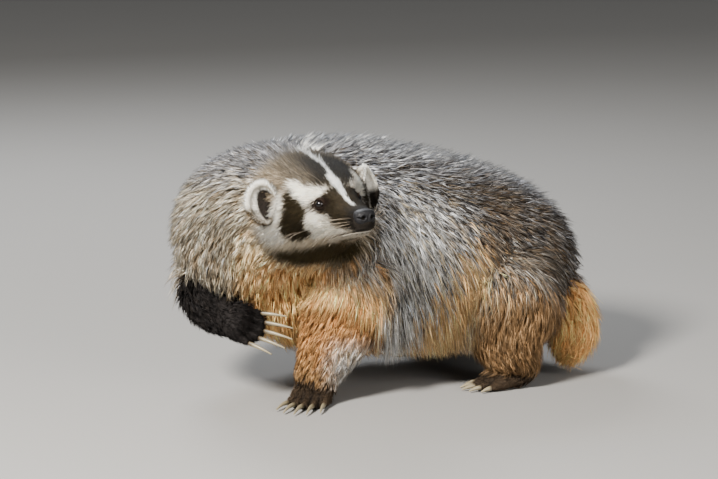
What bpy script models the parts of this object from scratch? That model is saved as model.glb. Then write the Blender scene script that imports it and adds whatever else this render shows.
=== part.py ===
"""A life-size still model of an American badger, standing low with one forefoot lifted and its head turned left.

Metres, +Z up. The origin is on the floor, at the middle of the model's bounding box. The animal's rump is at +X,
its chest faces -X and -Y, and its head looks towards -Y. Left and right are the animal's own.
"""

import math
import random
from dataclasses import dataclass, replace

import bmesh
import bpy
import numpy as np
from mathutils import Matrix, Vector
from mathutils.bvhtree import BVHTree

GAP = 0.0003
# A second cut beside a parting cut grows by this share of the gap, so that no two faces lie in one plane.
CLEARED = 0.85
# How far outside the body a search for its surface starts, and how near to a tube's middle a surface may be.
OUTSIDE = 0.2
SHALLOWEST = 0.004
# The step along or round a tube over which its size there is measured.
PROBE = 0.05
SEED = 7

# The long coat of the back, flanks and tail stands this deep on the skin. Its core reaches less than half way
# to its tips, and locks reach from the core to the tips.
COAT_DEPTH = 0.022
TAIL_COAT_DEPTH = 0.015
CORE_REACH = 0.45
CORE_INSET = (1 - CORE_REACH) * COAT_DEPTH
TAIL_CORE_INSET = (1 - CORE_REACH) * TAIL_COAT_DEPTH

# Mesh density of the fused body.
VOXEL = 0.0035
SMOOTHING = 0.5
SMOOTHING_PASSES = 10
BODY_TRIANGLES = 2600
# The share of its faces that a parted node keeps, and the detail of its small round pieces.
PARTED_SHARE = 0.6
ROUND = (14, 8)
SMALL_ROUND = (12, 6)
FINE_ROUND = (8, 5)
SMOOTH_BELOW = math.radians(50.0)

# The head's place: where its nose tip is, and how it is turned from looking along -Y.
NOSE_TIP = Vector((0.0075, -0.235, 0.238))
HEAD_YAW = math.radians(31.0)
HEAD_PITCH = math.radians(10.0)
HEAD_ROLL = math.radians(3.0)

# Places on the head, from the nose tip: forwards, to its left, up.
EYE = Vector((-0.0545, 0.0228, 0.0140))
EYE_RADIUS = 0.0056
EYE_FACES = Vector((0.58, 0.79, 0.18))
LID_THICKNESS = 0.0016
LID_OPENING = (0.0050, 0.0037)
LID_OPENING_OUT = 1.3
EYE_AHEAD = Vector((1.0, 0.0, -0.25))
EAR = Vector((-0.100, 0.0660, 0.0225))
EAR_SIZE = Vector((0.0150, 0.0185, 0.0250))
EAR_TURN = math.radians(42.0)
EAR_LEAN = math.radians(12.0)
EAR_WALL = 0.0042
EAR_HOLLOW_DEPTH = 0.55
EAR_HOLLOW_PLACE = 0.60
NOSTRIL = Vector((0.0005, 0.0060, -0.0050))
NOSTRIL_SIZE = Vector((0.0048, 0.0020, 0.0022))
NOSTRIL_TURN = 0.45
NOSE_SQUARENESS = 2.5
HEAD_SQUARENESS = 2.25
MOUTH_CORNER = -0.054
MOUTH_FRONT_HEIGHT = -0.0185
MOUTH_CORNER_HEIGHT = -0.0235
MOUTH_POINTS = 13
MOUTH_GROOVE = (0.0045, 0.0009)
LIP_SIZE = (0.0024, 0.0021)
LIP_OFFSET = 0.0020
LOWER_LIP_IN = 0.0008
LIP_END = 0.35

COLOURS = {
    "grizzled": ((0.33, 0.30, 0.26), 0.85),
    "face": ((0.42, 0.37, 0.30), 0.85),
    "ear": ((0.75, 0.72, 0.64), 0.85),
    "dark_leg": ((0.05, 0.04, 0.035), 0.80),
    "tawny": ((0.50, 0.30, 0.14), 0.85),
    "nose": ((0.03, 0.03, 0.035), 0.45),
    "eye": ((0.02, 0.012, 0.008), 0.10),
    "claw": ((0.62, 0.56, 0.42), 0.40),
}


@dataclass(frozen=True)
class Section:
    """One oval section of a body part: its centre, its half sizes, and how far the core lies inside it."""

    centre: tuple
    wide: float
    high: float
    inset: float = 0.0


# The nose pad, from inside the muzzle forwards.
NOSE_PAD = (
    Section((-0.0150, 0.0, -0.0040), 0.0080, 0.0060),
    Section((-0.0090, 0.0, -0.0040), 0.0116, 0.0084),
    Section((-0.0030, 0.0, -0.0046), 0.0118, 0.0086),
    Section((0.0008, 0.0, -0.0052), 0.0098, 0.0072),
    Section((0.0025, 0.0, -0.0056), 0.0055, 0.0042),
)

# From the rump to the back of the skull.
SPINE = (
    Section((0.232, 0.118, 0.108), 0.036, 0.036, CORE_INSET / 2),
    Section((0.200, 0.110, 0.117), 0.088, 0.078, CORE_INSET),
    Section((0.145, 0.092, 0.131), 0.124, 0.106, CORE_INSET),
    Section((0.070, 0.068, 0.1435), 0.134, 0.1195, CORE_INSET),
    Section((-0.010, 0.042, 0.1575), 0.130, 0.1245, CORE_INSET),
    Section((-0.085, 0.000, 0.172), 0.122, 0.121, CORE_INSET),
    Section((-0.108, -0.048, 0.193), 0.104, 0.096, CORE_INSET / 2),
    Section((-0.092, -0.088, 0.212), 0.087, 0.079, CORE_INSET / 3),
    Section((-0.064, -0.122, 0.222), 0.070, 0.064, 0.0),
)
NECK_STARTS = 5.55
# The block that parts the neck: its length, and its reach to the left, to the right, below and above the spine.
NECK_BLOCK = (0.20, 0.088, 0.135, 0.125, 0.16)
# The sleeve that parts the head reaches this far out of the head's own form, from this section on.
HEAD_MARGIN = 0.013
HEAD_STARTS = 1.0

SPINE_SAG = 0.06
SHOULDER_CENTRE = Vector((-0.143, 0.022, 0.158))
SHOULDER_SIZE = Vector((0.062, 0.070, 0.080))
THROAT_CENTRE = Vector((-0.036, -0.078, 0.182))
THROAT_SIZE = Vector((0.056, 0.052, 0.050))

# The head's sections: distance behind the nose tip, half width, top and bottom.
HEAD_SECTIONS = (
    (0.000, 0.0085, 0.0030, -0.0130),
    (0.006, 0.0135, 0.0055, -0.0190),
    (0.015, 0.0180, 0.0075, -0.0245),
    (0.028, 0.0230, 0.0110, -0.0275),
    (0.042, 0.0275, 0.0200, -0.0300),
    (0.058, 0.0350, 0.0325, -0.0330),
    (0.075, 0.0485, 0.0465, -0.0375),
    (0.092, 0.0600, 0.0570, -0.0435),
    (0.115, 0.0690, 0.0660, -0.0500),
    (0.140, 0.0700, 0.0710, -0.0540),
    (0.165, 0.0620, 0.0690, -0.0520),
)

# Legs, from inside the body to the wrist or heel.
FORELEG_LEFT = (
    Section((-0.004, -0.045, 0.140), 0.056, 0.058),
    Section((-0.014, -0.068, 0.100), 0.047, 0.050),
    Section((-0.032, -0.082, 0.062), 0.036, 0.037),
    Section((-0.045, -0.089, 0.034), 0.027, 0.027),
    Section((-0.050, -0.092, 0.018), 0.025, 0.022),
)
FORELEG_RIGHT = (
    Section((-0.140, 0.020, 0.150), 0.056, 0.058),
    Section((-0.163, -0.018, 0.122), 0.045, 0.045),
    Section((-0.162, -0.052, 0.106), 0.034, 0.034),
    Section((-0.148, -0.080, 0.097), 0.025, 0.025),
    Section((-0.138, -0.092, 0.092), 0.023, 0.019),
)
HINDLEG_LEFT = (
    Section((0.158, 0.035, 0.125), 0.060, 0.064),
    Section((0.172, 0.002, 0.088), 0.054, 0.056),
    Section((0.170, -0.012, 0.052), 0.041, 0.042),
    Section((0.180, -0.010, 0.026), 0.027, 0.027),
    Section((0.176, -0.014, 0.018), 0.022, 0.020),
)
HINDLEG_RIGHT = (
    Section((0.108, 0.155, 0.120), 0.058, 0.062),
    Section((0.094, 0.182, 0.084), 0.050, 0.054),
    Section((0.080, 0.188, 0.050), 0.039, 0.041),
    Section((0.084, 0.190, 0.026), 0.027, 0.027),
    Section((0.080, 0.188, 0.018), 0.022, 0.020),
)
TAIL = (
    Section((0.205, 0.104, 0.112), 0.030, 0.030, TAIL_CORE_INSET),
    Section((0.235, 0.092, 0.090), 0.030, 0.031, TAIL_CORE_INSET),
    Section((0.247, 0.072, 0.060), 0.029, 0.030, TAIL_CORE_INSET),
    Section((0.245, 0.052, 0.036), 0.020, 0.021, TAIL_CORE_INSET),
    Section((0.240, 0.042, 0.027), 0.009, 0.010, TAIL_CORE_INSET / 2),
)
LIMBS = {
    "tail": TAIL,
    "foreleg_left": FORELEG_LEFT,
    "foreleg_right": FORELEG_RIGHT,
    "hindleg_left": HINDLEG_LEFT,
    "hindleg_right": HINDLEG_RIGHT,
}
LIMB_UP = {
    "tail": Vector((1.0, 0.3, 0.0)),
    "foreleg_left": Vector((0.5, 0.2, 0.0)),
    "foreleg_right": Vector((0.0, 0.0, 1.0)),
    "hindleg_left": Vector((0.5, 0.2, 0.0)),
    "hindleg_right": Vector((0.5, 0.2, 0.0)),
}
# Where each limb is parted from the body, counted in its sections.
LIMB_STARTS = {"tail": 0.9, "foreleg_left": 0.6, "foreleg_right": 0.6, "hindleg_left": 0.6, "hindleg_right": 0.6}
SLEEVE_MARGIN = 0.010
# Pairs of nodes that come close beside their parting, where the first is cut clear of the second.
CLOSE = (("torso", "foreleg_left"), ("torso", "foreleg_right"), ("neck", "foreleg_right"))

# A lock runs along the lie of the coat, backwards on the back and down on the flanks, from a sunk root.
# Each ring is its place along the lock, its share of the width, and its share of the rise to the coat's tips.
LOCK_RINGS = ((0.0, 0.70, 0.0), (0.30, 1.0, 0.72), (0.68, 0.74, 0.96), (1.0, 0.0, 1.0))
LOCK_SIDES = 4
LOCK_SINK = 0.007
LOCK_THICKNESS = 0.0055
LOCK_THINS = 0.5
LIE_ON_BACK = math.radians(8.0)
LIE_ON_FLANK = math.radians(68.0)
LIE_VARIES = 0.12
LENGTH_VARIES = 0.12
WIDTH_VARIES = 0.08
ROW_VARIES = 0.06
TURN_VARIES = (0.18, 0.32)
# A lock that would touch another node is lifted by these steps, and left out where none of them clears it.
LIFTS = (0.0, 0.004, 0.008)
# Round from the back, locks start to hang at the first angle and hang free at the second, down to this height.
HANGS_FROM = math.radians(75.0)
HANGS_FREE = math.radians(115.0)
HANG_SHARE = 0.8
HANG_FOLLOWS = 0.25
LOCK_FLOOR = 0.036
# The chest and shoulder over the planted foreleg carry short fur, so no lock is rooted in these balls.
BARE = ((Vector((-0.020, -0.060, 0.120)), 0.080),)
DOWN = Vector((0, 0, -1))


@dataclass(frozen=True)
class Coat:
    """The locks of one node: the sections they are rooted between, how many, how far round, and their sizes."""

    node: str
    start: float
    end: float
    rows: int
    around: int
    reach: float
    length: float
    width: float
    lift: float


COATS = (
    Coat("torso", 0.90, 5.50, 10, 11, math.radians(118.0), 0.076, 0.039, CORE_INSET + 0.003),
    Coat("neck", 6.10, 7.05, 3, 8, math.radians(112.0), 0.046, 0.036, 0.010),
    Coat("tail", 1.3, 3.2, 3, 4, math.radians(105.0), 0.044, 0.026, TAIL_CORE_INSET),
)


@dataclass(frozen=True)
class Foot:
    """One foot: its ankle, the way it points and its back faces, its size, its claws' length and how far they bend."""

    name: str
    ankle: tuple
    points: tuple
    back: tuple
    length: float
    width: float
    claw: float
    bend: float
    planted: bool = True


FEET = (
    Foot("fore_left", (-0.050, -0.092, 0.0), (-0.30, -0.95, 0.0), (0, 0, 1), 0.046, 0.050, 0.033, 0.60),
    Foot("fore_right", (-0.138, -0.092, 0.090), (0.93, -0.30, -0.22), (-0.20, -0.60, 0.45),
         0.042, 0.044, 0.035, 0.45, planted=False),
    Foot("hind_left", (0.174, -0.008, 0.0), (-0.90, -0.43, 0.0), (0, 0, 1), 0.070, 0.044, 0.017, 0.50),
    Foot("hind_right", (0.080, 0.190, 0.0), (-0.95, -0.31, 0.0), (0, 0, 1), 0.070, 0.044, 0.017, 0.50),
)
TOES = 5
TOE_RADIUS = 0.0072
TOE_TIP_RADIUS = 0.0052
TOE_LENGTH = 0.021
TOE_SPREAD = 0.17
# The toes' roots, as shares of the foot's length and width, and how far the outer toes are set back and shorter.
TOE_ROOT = (0.38, 0.36)
OUTER_TOE_BACK = 0.006
OUTER_TOE_SHORTER = 0.22
OUTER_CLAW_SHORTER = 0.14
# The rings of a toe after its root: their place along it, and their share of the root's or the tip's radius.
TOE_MIDDLE = (0.55, 0.95)
TOE_END_WIDE = 0.9
PALM_HEIGHT = 0.0125
PALM_PLACE = (0.12, 0.85)
PALM_SIZE = (0.42, 0.5)
CLAW_RADIUS = 0.0034
CLAW_TIP_RADIUS = 0.0007
CLAW_TIP_HEIGHT = 0.0020
CLAW_RINGS = 4
CLAW_SIDES = 6
CLAW_NARROW = 0.75
CLAW_TAPER = 0.8
FLOOR_CUT = 0.05


def clear_scene():
    """Empties the scene."""
    for obj in list(bpy.data.objects):
        bpy.data.objects.remove(obj)


def link(name, mesh):
    """A mesh object in the scene."""
    obj = bpy.data.objects.new(name, mesh)
    bpy.context.scene.collection.objects.link(obj)
    return obj


def object_from(name, vertices, faces):
    """A closed mesh object from its points and faces, with its faces turned out."""
    mesh = bpy.data.meshes.new(name)
    mesh.from_pydata([tuple(v) for v in vertices], [], faces)
    shape = bmesh.new()
    shape.from_mesh(mesh)
    bmesh.ops.recalc_face_normals(shape, faces=shape.faces)
    shape.to_mesh(mesh)
    shape.free()
    return link(name, mesh)


def settled(obj):
    """Applies the object's modifiers."""
    graph = bpy.context.evaluated_depsgraph_get()
    mesh = bpy.data.meshes.new_from_object(obj.evaluated_get(graph))
    obj.modifiers.clear()
    obj.data = mesh
    return obj


def remove(*objects):
    """Deletes helpers."""
    for obj in objects:
        bpy.data.objects.remove(obj)


def boolean(obj, others, operation):
    """Joins other objects to one, or cuts them from it, and deletes them.

    The exact solver leaves open edges where a parting cut crosses the fused body, so all use the manifold one.
    """
    pieces = bpy.data.collections.new("pieces")
    for other in others:
        pieces.objects.link(other)
    modifier = obj.modifiers.new(operation, "BOOLEAN")
    modifier.operation = operation
    modifier.solver = "MANIFOLD"
    modifier.operand_type = "COLLECTION"
    modifier.collection = pieces
    settled(obj)
    remove(*others)
    bpy.data.collections.remove(pieces)
    return obj


def copy_of(obj, name):
    """A copy with its own mesh."""
    other = link(name, obj.data.copy())
    other.matrix_world = obj.matrix_world
    return other


def grown(obj, by=GAP):
    """A copy whose faces all lie a little further out."""
    other = copy_of(obj, obj.name + "_grown")
    modifier = other.modifiers.new("grow", "DISPLACE")
    modifier.strength = by
    modifier.mid_level = 0.0
    return settled(other)


def tree_of(obj):
    """The object's faces, ready to be searched."""
    return BVHTree.FromPolygons([v.co for v in obj.data.vertices], [p.vertices for p in obj.data.polygons])


def in_triangles(obj):
    """The object's faces as triangles, by the first of two methods that draws no edge twice."""
    for method in ("BEAUTY", "EAR_CLIP"):
        shape = bmesh.new()
        shape.from_mesh(obj.data)
        bmesh.ops.triangulate(shape, faces=shape.faces, ngon_method=method)
        if all(len(edge.link_faces) == 2 for edge in shape.edges):
            break
    return shape


def largest_part(obj):
    """Keeps only the object's largest closed surface, as triangles."""
    shape = in_triangles(obj)
    unseen = set(shape.faces)
    groups = []
    while unseen:
        group = {unseen.pop()}
        edge_of_group = list(group)
        while edge_of_group:
            face = edge_of_group.pop()
            near = {f for e in face.edges for f in e.link_faces} & unseen
            unseen -= near
            group |= near
            edge_of_group.extend(near)
        groups.append(group)
    groups.sort(key=len)
    for group in groups[:-1]:
        bmesh.ops.delete(shape, geom=list(group), context="FACES")
    shape.to_mesh(obj.data)
    shape.free()
    return obj


def spline(rows, t):
    """The value at t on a smooth curve through rows, which stand at 0, 1, 2 and so on."""
    last = len(rows) - 1
    i = min(max(int(math.floor(t)), 0), last - 1)
    u = t - i
    before = rows[i - 1] if i > 0 else 2 * rows[0] - rows[1]
    after = rows[i + 2] if i + 2 <= last else 2 * rows[last] - rows[last - 1]
    a, b = rows[i], rows[i + 1]
    return 0.5 * (
        2 * a + (b - before) * u + (2 * before - 5 * a + 4 * b - after) * u**2 + (3 * a - before - 3 * b + after) * u**3
    )


class Tube:
    """A round body part strung on a smooth curve through its sections."""

    def __init__(self, sections, up=Vector((0, 0, 1)), squareness=2.2, sag=0.0):
        self.rows = np.array([(*s.centre, s.wide, s.high, s.inset) for s in sections], float)
        self.up = up
        self.power = 2.0 / squareness
        self.sag = sag
        self.last = len(sections) - 1

    def frame(self, t):
        """Centre, along, left, up, half width, half height and inset at t."""
        row = spline(self.rows, t)
        ahead, behind = spline(self.rows, t + PROBE), spline(self.rows, t - PROBE)
        along = Vector(ahead[:3] - behind[:3]).normalized()
        left = self.up.cross(along).normalized()
        return Vector(row[:3]), along, left, along.cross(left), row[3], row[4], row[5]

    def point(self, t, angle, out=0.0):
        """A point of the surface. The angle is from the top towards the left, and out is the way out of the core."""
        centre, _, left, up, wide, high, inset = self.frame(t)
        c, s = math.cos(angle), math.sin(angle)
        c = math.copysign(abs(c) ** self.power, c)
        s = math.copysign(abs(s) ** self.power, s)
        across = (wide - inset + out) * (1 - self.sag * c)
        return centre + left * (across * s) + up * ((high - inset + out) * c)

    def solid(self, name, start=None, end=None, step=0.25, sides=28, out=0.0):
        """The closed solid between two places on the curve."""
        start = 0.0 if start is None else start
        end = float(self.last) if end is None else end
        count = max(2, int(round((end - start) / step)) + 1)
        places = [start + (end - start) * i / (count - 1) for i in range(count)]
        vertices = [self.point(t, 2 * math.pi * k / sides, out) for t in places for k in range(sides)]
        faces = [tuple(range(sides))[::-1], tuple((count - 1) * sides + k for k in range(sides))]
        for i in range(count - 1):
            for k in range(sides):
                after = (k + 1) % sides
                faces.append((i * sides + k, i * sides + after, (i + 1) * sides + after, (i + 1) * sides + k))
        return object_from(name, vertices, faces)


def head_matrix():
    """The head's frame: X forwards, Y to its left, Z up, with its origin at the nose tip."""
    turned = Matrix.Rotation(HEAD_YAW - math.pi / 2, 4, "Z")
    tipped = Matrix.Rotation(-HEAD_PITCH, 4, "Y")
    rolled = Matrix.Rotation(HEAD_ROLL, 4, "X")
    return Matrix.Translation(NOSE_TIP) @ turned @ tipped @ rolled


def ball(name, centre, size, detail=(24, 16), matrix=None):
    """An ellipsoid with these half sizes."""
    shape = bmesh.new()
    bmesh.ops.create_uvsphere(shape, u_segments=detail[0], v_segments=detail[1], radius=1.0)
    bmesh.ops.scale(shape, vec=size, verts=shape.verts)
    bmesh.ops.translate(shape, vec=centre, verts=shape.verts)
    if matrix is not None:
        bmesh.ops.transform(shape, matrix=matrix, verts=shape.verts)
    mesh = bpy.data.meshes.new(name)
    shape.to_mesh(mesh)
    shape.free()
    return link(name, mesh)


def head_tube():
    """The head without its ears, in the head's frame."""
    sections = [Section((-back, 0, (top + low) / 2), wide, (top - low) / 2) for back, wide, top, low in HEAD_SECTIONS]
    return Tube(sections[::-1], squareness=HEAD_SQUARENESS)


def in_head(obj):
    """Moves an object that was made in the head's frame to its place."""
    obj.data.transform(head_matrix())
    return obj


def both_sides(place):
    """The same place on the animal's left and right, each with its side's name and sign."""
    return (("left", 1, Vector(place)), ("right", -1, Vector((place[0], -place[1], place[2]))))


def ring_solid(name, rings, sides=8, tip=None):
    """A closed tube of triangles through oval rings, which may end in a point.

    Each ring is its centre, the way along, the way up, its half width and its half height.
    """
    vertices, faces = [], [tuple(range(sides))[::-1]]
    for centre, along, up, wide, high in rings:
        left = up.cross(along).normalized()
        top = along.cross(left).normalized()
        for k in range(sides):
            angle = 2 * math.pi * k / sides
            vertices.append(centre + left * (wide * math.sin(angle)) + top * (high * math.cos(angle)))
    for i in range(len(rings) - 1):
        for k in range(sides):
            a, b = i * sides + k, i * sides + (k + 1) % sides
            faces += [(a, b, b + sides), (a, b + sides, a + sides)]
    last = (len(rings) - 1) * sides
    if tip is None:
        faces.append(tuple(last + k for k in range(sides)))
    else:
        vertices.append(tip)
        faces += [(last + k, last + (k + 1) % sides, len(vertices) - 1) for k in range(sides)]
    return object_from(name, vertices, faces)


def joined(name, pieces):
    """One object that holds the meshes of all the pieces, which it deletes."""
    shape = bmesh.new()
    for piece in pieces:
        shape.from_mesh(piece.data)
    mesh = bpy.data.meshes.new(name)
    shape.to_mesh(mesh)
    shape.free()
    remove(*pieces)
    return link(name, mesh)


def limb_tube(name):
    """The tube of a leg or the tail. Most of them are steep, so their up is a level direction."""
    return Tube(LIMBS[name], up=LIMB_UP[name])


def thinned(obj, share):
    """Merges the faces that tell least of the form, down to a share of them."""
    obj.modifiers.new("thin", "DECIMATE").ratio = share
    return settled(obj)


def body_core():
    """The whole body as one closed surface: the outside of the short coat, and the core of the long coat."""
    pieces = [Tube(SPINE, sag=SPINE_SAG).solid("spine"), in_head(head_tube().solid("head_form", step=0.5))]
    pieces += [limb_tube(name).solid("limb") for name in LIMBS]
    pieces.append(ball("shoulder", SHOULDER_CENTRE, SHOULDER_SIZE))
    pieces.append(ball("throat", THROAT_CENTRE, THROAT_SIZE))
    core = joined("core", pieces)
    remesh = core.modifiers.new("fuse", "REMESH")
    remesh.mode = "VOXEL"
    remesh.voxel_size = VOXEL
    smooth = core.modifiers.new("smooth", "SMOOTH")
    smooth.factor = SMOOTHING
    smooth.iterations = SMOOTHING_PASSES
    settled(core)
    core.data.calc_loop_triangles()
    return largest_part(thinned(core, BODY_TRIANGLES / len(core.data.loop_triangles)))


def take(core, name, sleeve):
    """Parts what lies inside the sleeve from the core, as its own object, and leaves the gap round it."""
    wider = grown(sleeve)
    part = boolean(copy_of(core, name), [sleeve], "INTERSECT")
    thinned(largest_part(part), PARTED_SHARE)
    boolean(core, [wider], "DIFFERENCE")
    boolean(core, [grown(part, CLEARED * GAP)], "DIFFERENCE")
    largest_part(core)
    return part


def block(name, low, high, matrix=None):
    """A box between two corners."""
    shape = bmesh.new()
    bmesh.ops.create_cube(shape, size=1.0)
    bmesh.ops.scale(shape, vec=Vector(high) - Vector(low), verts=shape.verts)
    bmesh.ops.translate(shape, vec=(Vector(low) + Vector(high)) / 2, verts=shape.verts)
    if matrix is not None:
        bmesh.ops.transform(shape, matrix=matrix, verts=shape.verts)
    mesh = bpy.data.meshes.new(name)
    shape.to_mesh(mesh)
    shape.free()
    return link(name, mesh)


def neck_block():
    """The box that holds the neck, with its rear face across the spine."""
    centre, along, left, up, _, _, _ = Tube(SPINE).frame(NECK_STARTS)
    length, to_left, to_right, below, above = NECK_BLOCK
    turn = Matrix((along, left, up)).transposed().to_4x4()
    return block("sleeve", (0, -to_right, -below), (length, to_left, above), Matrix.Translation(centre) @ turn)


def lock(surface, tube, t, angle, coat):
    """One flat tapered lock, which follows the body from its root, and hangs free where it is low on a flank."""
    side = 1.0 if angle >= 0 else -1.0
    fall = LIE_ON_BACK + (LIE_ON_FLANK - LIE_ON_BACK) * abs(math.sin(angle))
    fall += random.uniform(-LIE_VARIES, LIE_VARIES)
    length = coat.length * random.uniform(1 - LENGTH_VARIES, 1 + LENGTH_VARIES)
    here = tube.point(t, angle)
    per_t = (tube.point(t + PROBE, angle) - here).length / PROBE
    per_angle = (tube.point(t, angle + PROBE) - here).length / PROBE
    hang = min(max((abs(angle) - HANGS_FROM) / (HANGS_FREE - HANGS_FROM), 0.0), 1.0)
    root, out = surface(t, angle)
    if root is None or any((root - centre).length < radius for centre, radius in BARE):
        return None
    places = []
    for u, _, rise in LOCK_RINGS:
        ahead = t - u * length * math.cos(fall) / per_t
        turned = angle + side * u * length * math.sin(fall) / per_angle
        place, way = surface(ahead, turned)
        if place is None:
            return None
        lift = -LOCK_SINK + (coat.lift + LOCK_SINK) * rise
        follows = place + way * lift
        hangs = root + DOWN * (u * length) + way * lift + (place - root) * HANG_FOLLOWS
        hangs.z = max(hangs.z, LOCK_FLOOR)
        places.append((follows.lerp(hangs, HANG_SHARE * hang), way.lerp(out, hang)))
    rings = []
    for i, (u, share, _) in enumerate(LOCK_RINGS[:-1]):
        along = (places[i + 1][0] - places[max(i - 1, 0)][0]).normalized()
        across = coat.width / 2 * share * random.uniform(1 - WIDTH_VARIES, 1 + WIDTH_VARIES)
        rings.append((places[i][0], along, places[i][1], across, LOCK_THICKNESS / 2 * (1 - LOCK_THINS * u)))
    return ring_solid("lock", rings, sides=LOCK_SIDES, tip=places[-1][0])


def body_surface(core, tube):
    """A function that gives the core's surface point, and the way out there, at a place along and round a tube."""
    tree = tree_of(core)

    def surface(t, angle):
        centre = tube.frame(t)[0]
        out = (tube.point(t, angle) - centre).normalized()
        hit, _, _, far = tree.ray_cast(centre, out, OUTSIDE)
        return (hit, out) if hit is not None and far > SHALLOWEST else (None, out)

    return surface


def clear_lock(surface, tube, t, angle, coat, others):
    """A lock that stays clear of the other nodes, lifted further from the body where it has to be."""
    for lift in LIFTS:
        made = lock(surface, tube, t, angle, replace(coat, lift=coat.lift + lift))
        if made is None:
            return None
        tree = tree_of(made)
        if not any(tree.overlap(other) for other in others):
            return made
        remove(made)
    return None


def add_locks(nodes, core):
    """Joins the long coat's locks to their nodes, bent along the body and clear of the other nodes."""
    spine = Tube(SPINE, sag=SPINE_SAG)
    for coat in COATS:
        wider = [grown(obj) for obj in list(bpy.data.objects) if obj not in (core, nodes[coat.node])]
        others = [tree_of(obj) for obj in wider]
        remove(*wider)
        tube = limb_tube(coat.node) if coat.node in LIMBS else spine
        surface = body_surface(core, tube)
        locks = []
        for row in range(coat.rows):
            t = coat.start + (coat.end - coat.start) * row / (coat.rows - 1)
            for k in range(coat.around):
                share = (k + row % 2 / 2 + random.uniform(*TURN_VARIES)) / coat.around
                angle = coat.reach * (2 * share - 1)
                place = t + random.uniform(-ROW_VARIES, ROW_VARIES)
                made = clear_lock(surface, tube, place, angle, coat, others)
                if made is not None:
                    locks.append(made)
        largest_part(boolean(nodes[coat.node], locks, "UNION"))


def parted(torso):
    """The fused body, divided into the torso, neck, head, tail and legs, by name."""
    sleeve = head_tube().solid("sleeve", start=HEAD_STARTS, step=1.0, sides=12, out=HEAD_MARGIN)
    nodes = {"head": take(torso, "head", in_head(sleeve))}
    for name in LIMBS:
        sleeve = limb_tube(name).solid("sleeve", start=LIMB_STARTS[name], step=1.0, sides=10, out=SLEEVE_MARGIN)
        nodes[name] = take(torso, name, sleeve)
    nodes["neck"] = take(torso, "neck", neck_block())
    torso.name = "torso"
    nodes["torso"] = largest_part(torso)
    return nodes


def toe_places(foot):
    """Each toe's root and tip, with the way its claw starts out and the claw's own way down."""
    forward = Vector(foot.points).normalized()
    side = Vector(foot.back).cross(forward).normalized()
    back = forward.cross(side)
    ankle = Vector(foot.ankle)
    for number in range(TOES):
        across = 2 * number / (TOES - 1) - 1
        way = (forward + side * (TOE_SPREAD * across)).normalized()
        root = ankle + forward * (TOE_ROOT[0] * foot.length - OUTER_TOE_BACK * across**2)
        root += side * (TOE_ROOT[1] * foot.width * across)
        tip = root + way * (TOE_LENGTH * (1 - OUTER_TOE_SHORTER * across**2))
        claw = foot.claw * (1 - OUTER_CLAW_SHORTER * across**2)
        rise = foot.bend / 2
        if foot.planted:
            rise -= (TOE_TIP_RADIUS - CLAW_TIP_HEIGHT) / claw
        start = (way * math.cos(rise) + back * math.sin(rise)).normalized()
        yield number + 1, root + back * TOE_RADIUS, tip + back * TOE_TIP_RADIUS, way, start, back, claw


def claw_solid(name, tip, start, back, length, bend):
    """A claw that leaves its toe's flat end, and bends down to a fine end."""
    side = back.cross(start).normalized()
    centre, rings = tip + start * GAP, []
    for ring in range(CLAW_RINGS):
        u = ring / CLAW_RINGS
        way = Matrix.Rotation(bend * u, 3, side) @ start
        radius = CLAW_TIP_RADIUS + (CLAW_RADIUS - CLAW_TIP_RADIUS) * (1 - u) ** CLAW_TAPER
        rings.append((centre, way, back, CLAW_NARROW * radius, radius))
        middle = Matrix.Rotation(bend * (u + 0.5 / CLAW_RINGS), 3, side) @ start
        centre = centre + middle * (length / CLAW_RINGS)
    return ring_solid(name, rings, sides=CLAW_SIDES, tip=centre)


def add_foot(leg, foot):
    """Joins a palm and toes to a leg, cuts its soles flat on the floor, and makes its claws."""
    forward = Vector(foot.points).normalized()
    side = Vector(foot.back).cross(forward).normalized()
    back = forward.cross(side)
    turn = Matrix((forward, side, back)).transposed().to_4x4()
    centre = Vector(foot.ankle) + forward * (PALM_PLACE[0] * foot.length) + back * (PALM_PLACE[1] * PALM_HEIGHT)
    size = Vector((PALM_SIZE[0] * foot.length, PALM_SIZE[1] * foot.width, PALM_HEIGHT))
    pieces = [ball("palm", Vector(), size, SMALL_ROUND, Matrix.Translation(centre) @ turn)]
    claws = []
    for number, root, tip, way, start, back, claw in toe_places(foot):
        rings = [
            (root - way * TOE_RADIUS, way, back, TOE_RADIUS, TOE_RADIUS),
            (root.lerp(tip, TOE_MIDDLE[0]), way, back, TOE_MIDDLE[1] * TOE_RADIUS, TOE_RADIUS),
            (tip, start, back, TOE_END_WIDE * TOE_TIP_RADIUS, TOE_TIP_RADIUS),
        ]
        pieces.append(ring_solid("toe", rings))
        claws.append(claw_solid(f"{foot.name}_claw_{number}", tip, start, back, claw, foot.bend))
    boolean(leg, pieces, "UNION")
    if foot.planted:
        boolean(leg, [block("below", (-1, -1, -FLOOR_CUT), (1, 1, 0))], "DIFFERENCE")
    return claws


def mouth_line(head):
    """Points along the mouth, from one corner round under the nose to the other, each with its way out."""
    tree = tree_of(head)
    matrix = head_matrix()
    places = []
    for i in range(MOUTH_POINTS):
        angle = math.pi / 2 * (2 * i / (MOUTH_POINTS - 1) - 1)
        height = MOUTH_FRONT_HEIGHT + (MOUTH_CORNER_HEIGHT - MOUTH_FRONT_HEIGHT) * math.sin(angle) ** 2
        out = Vector((math.cos(angle), math.sin(angle), 0))
        middle = Vector((MOUTH_CORNER, 0, height))
        far = matrix @ (middle + out * OUTSIDE)
        hit = tree.ray_cast(far, matrix.to_3x3() @ -out)[0]
        places.append((hit, matrix.to_3x3() @ out))
    return places


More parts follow.
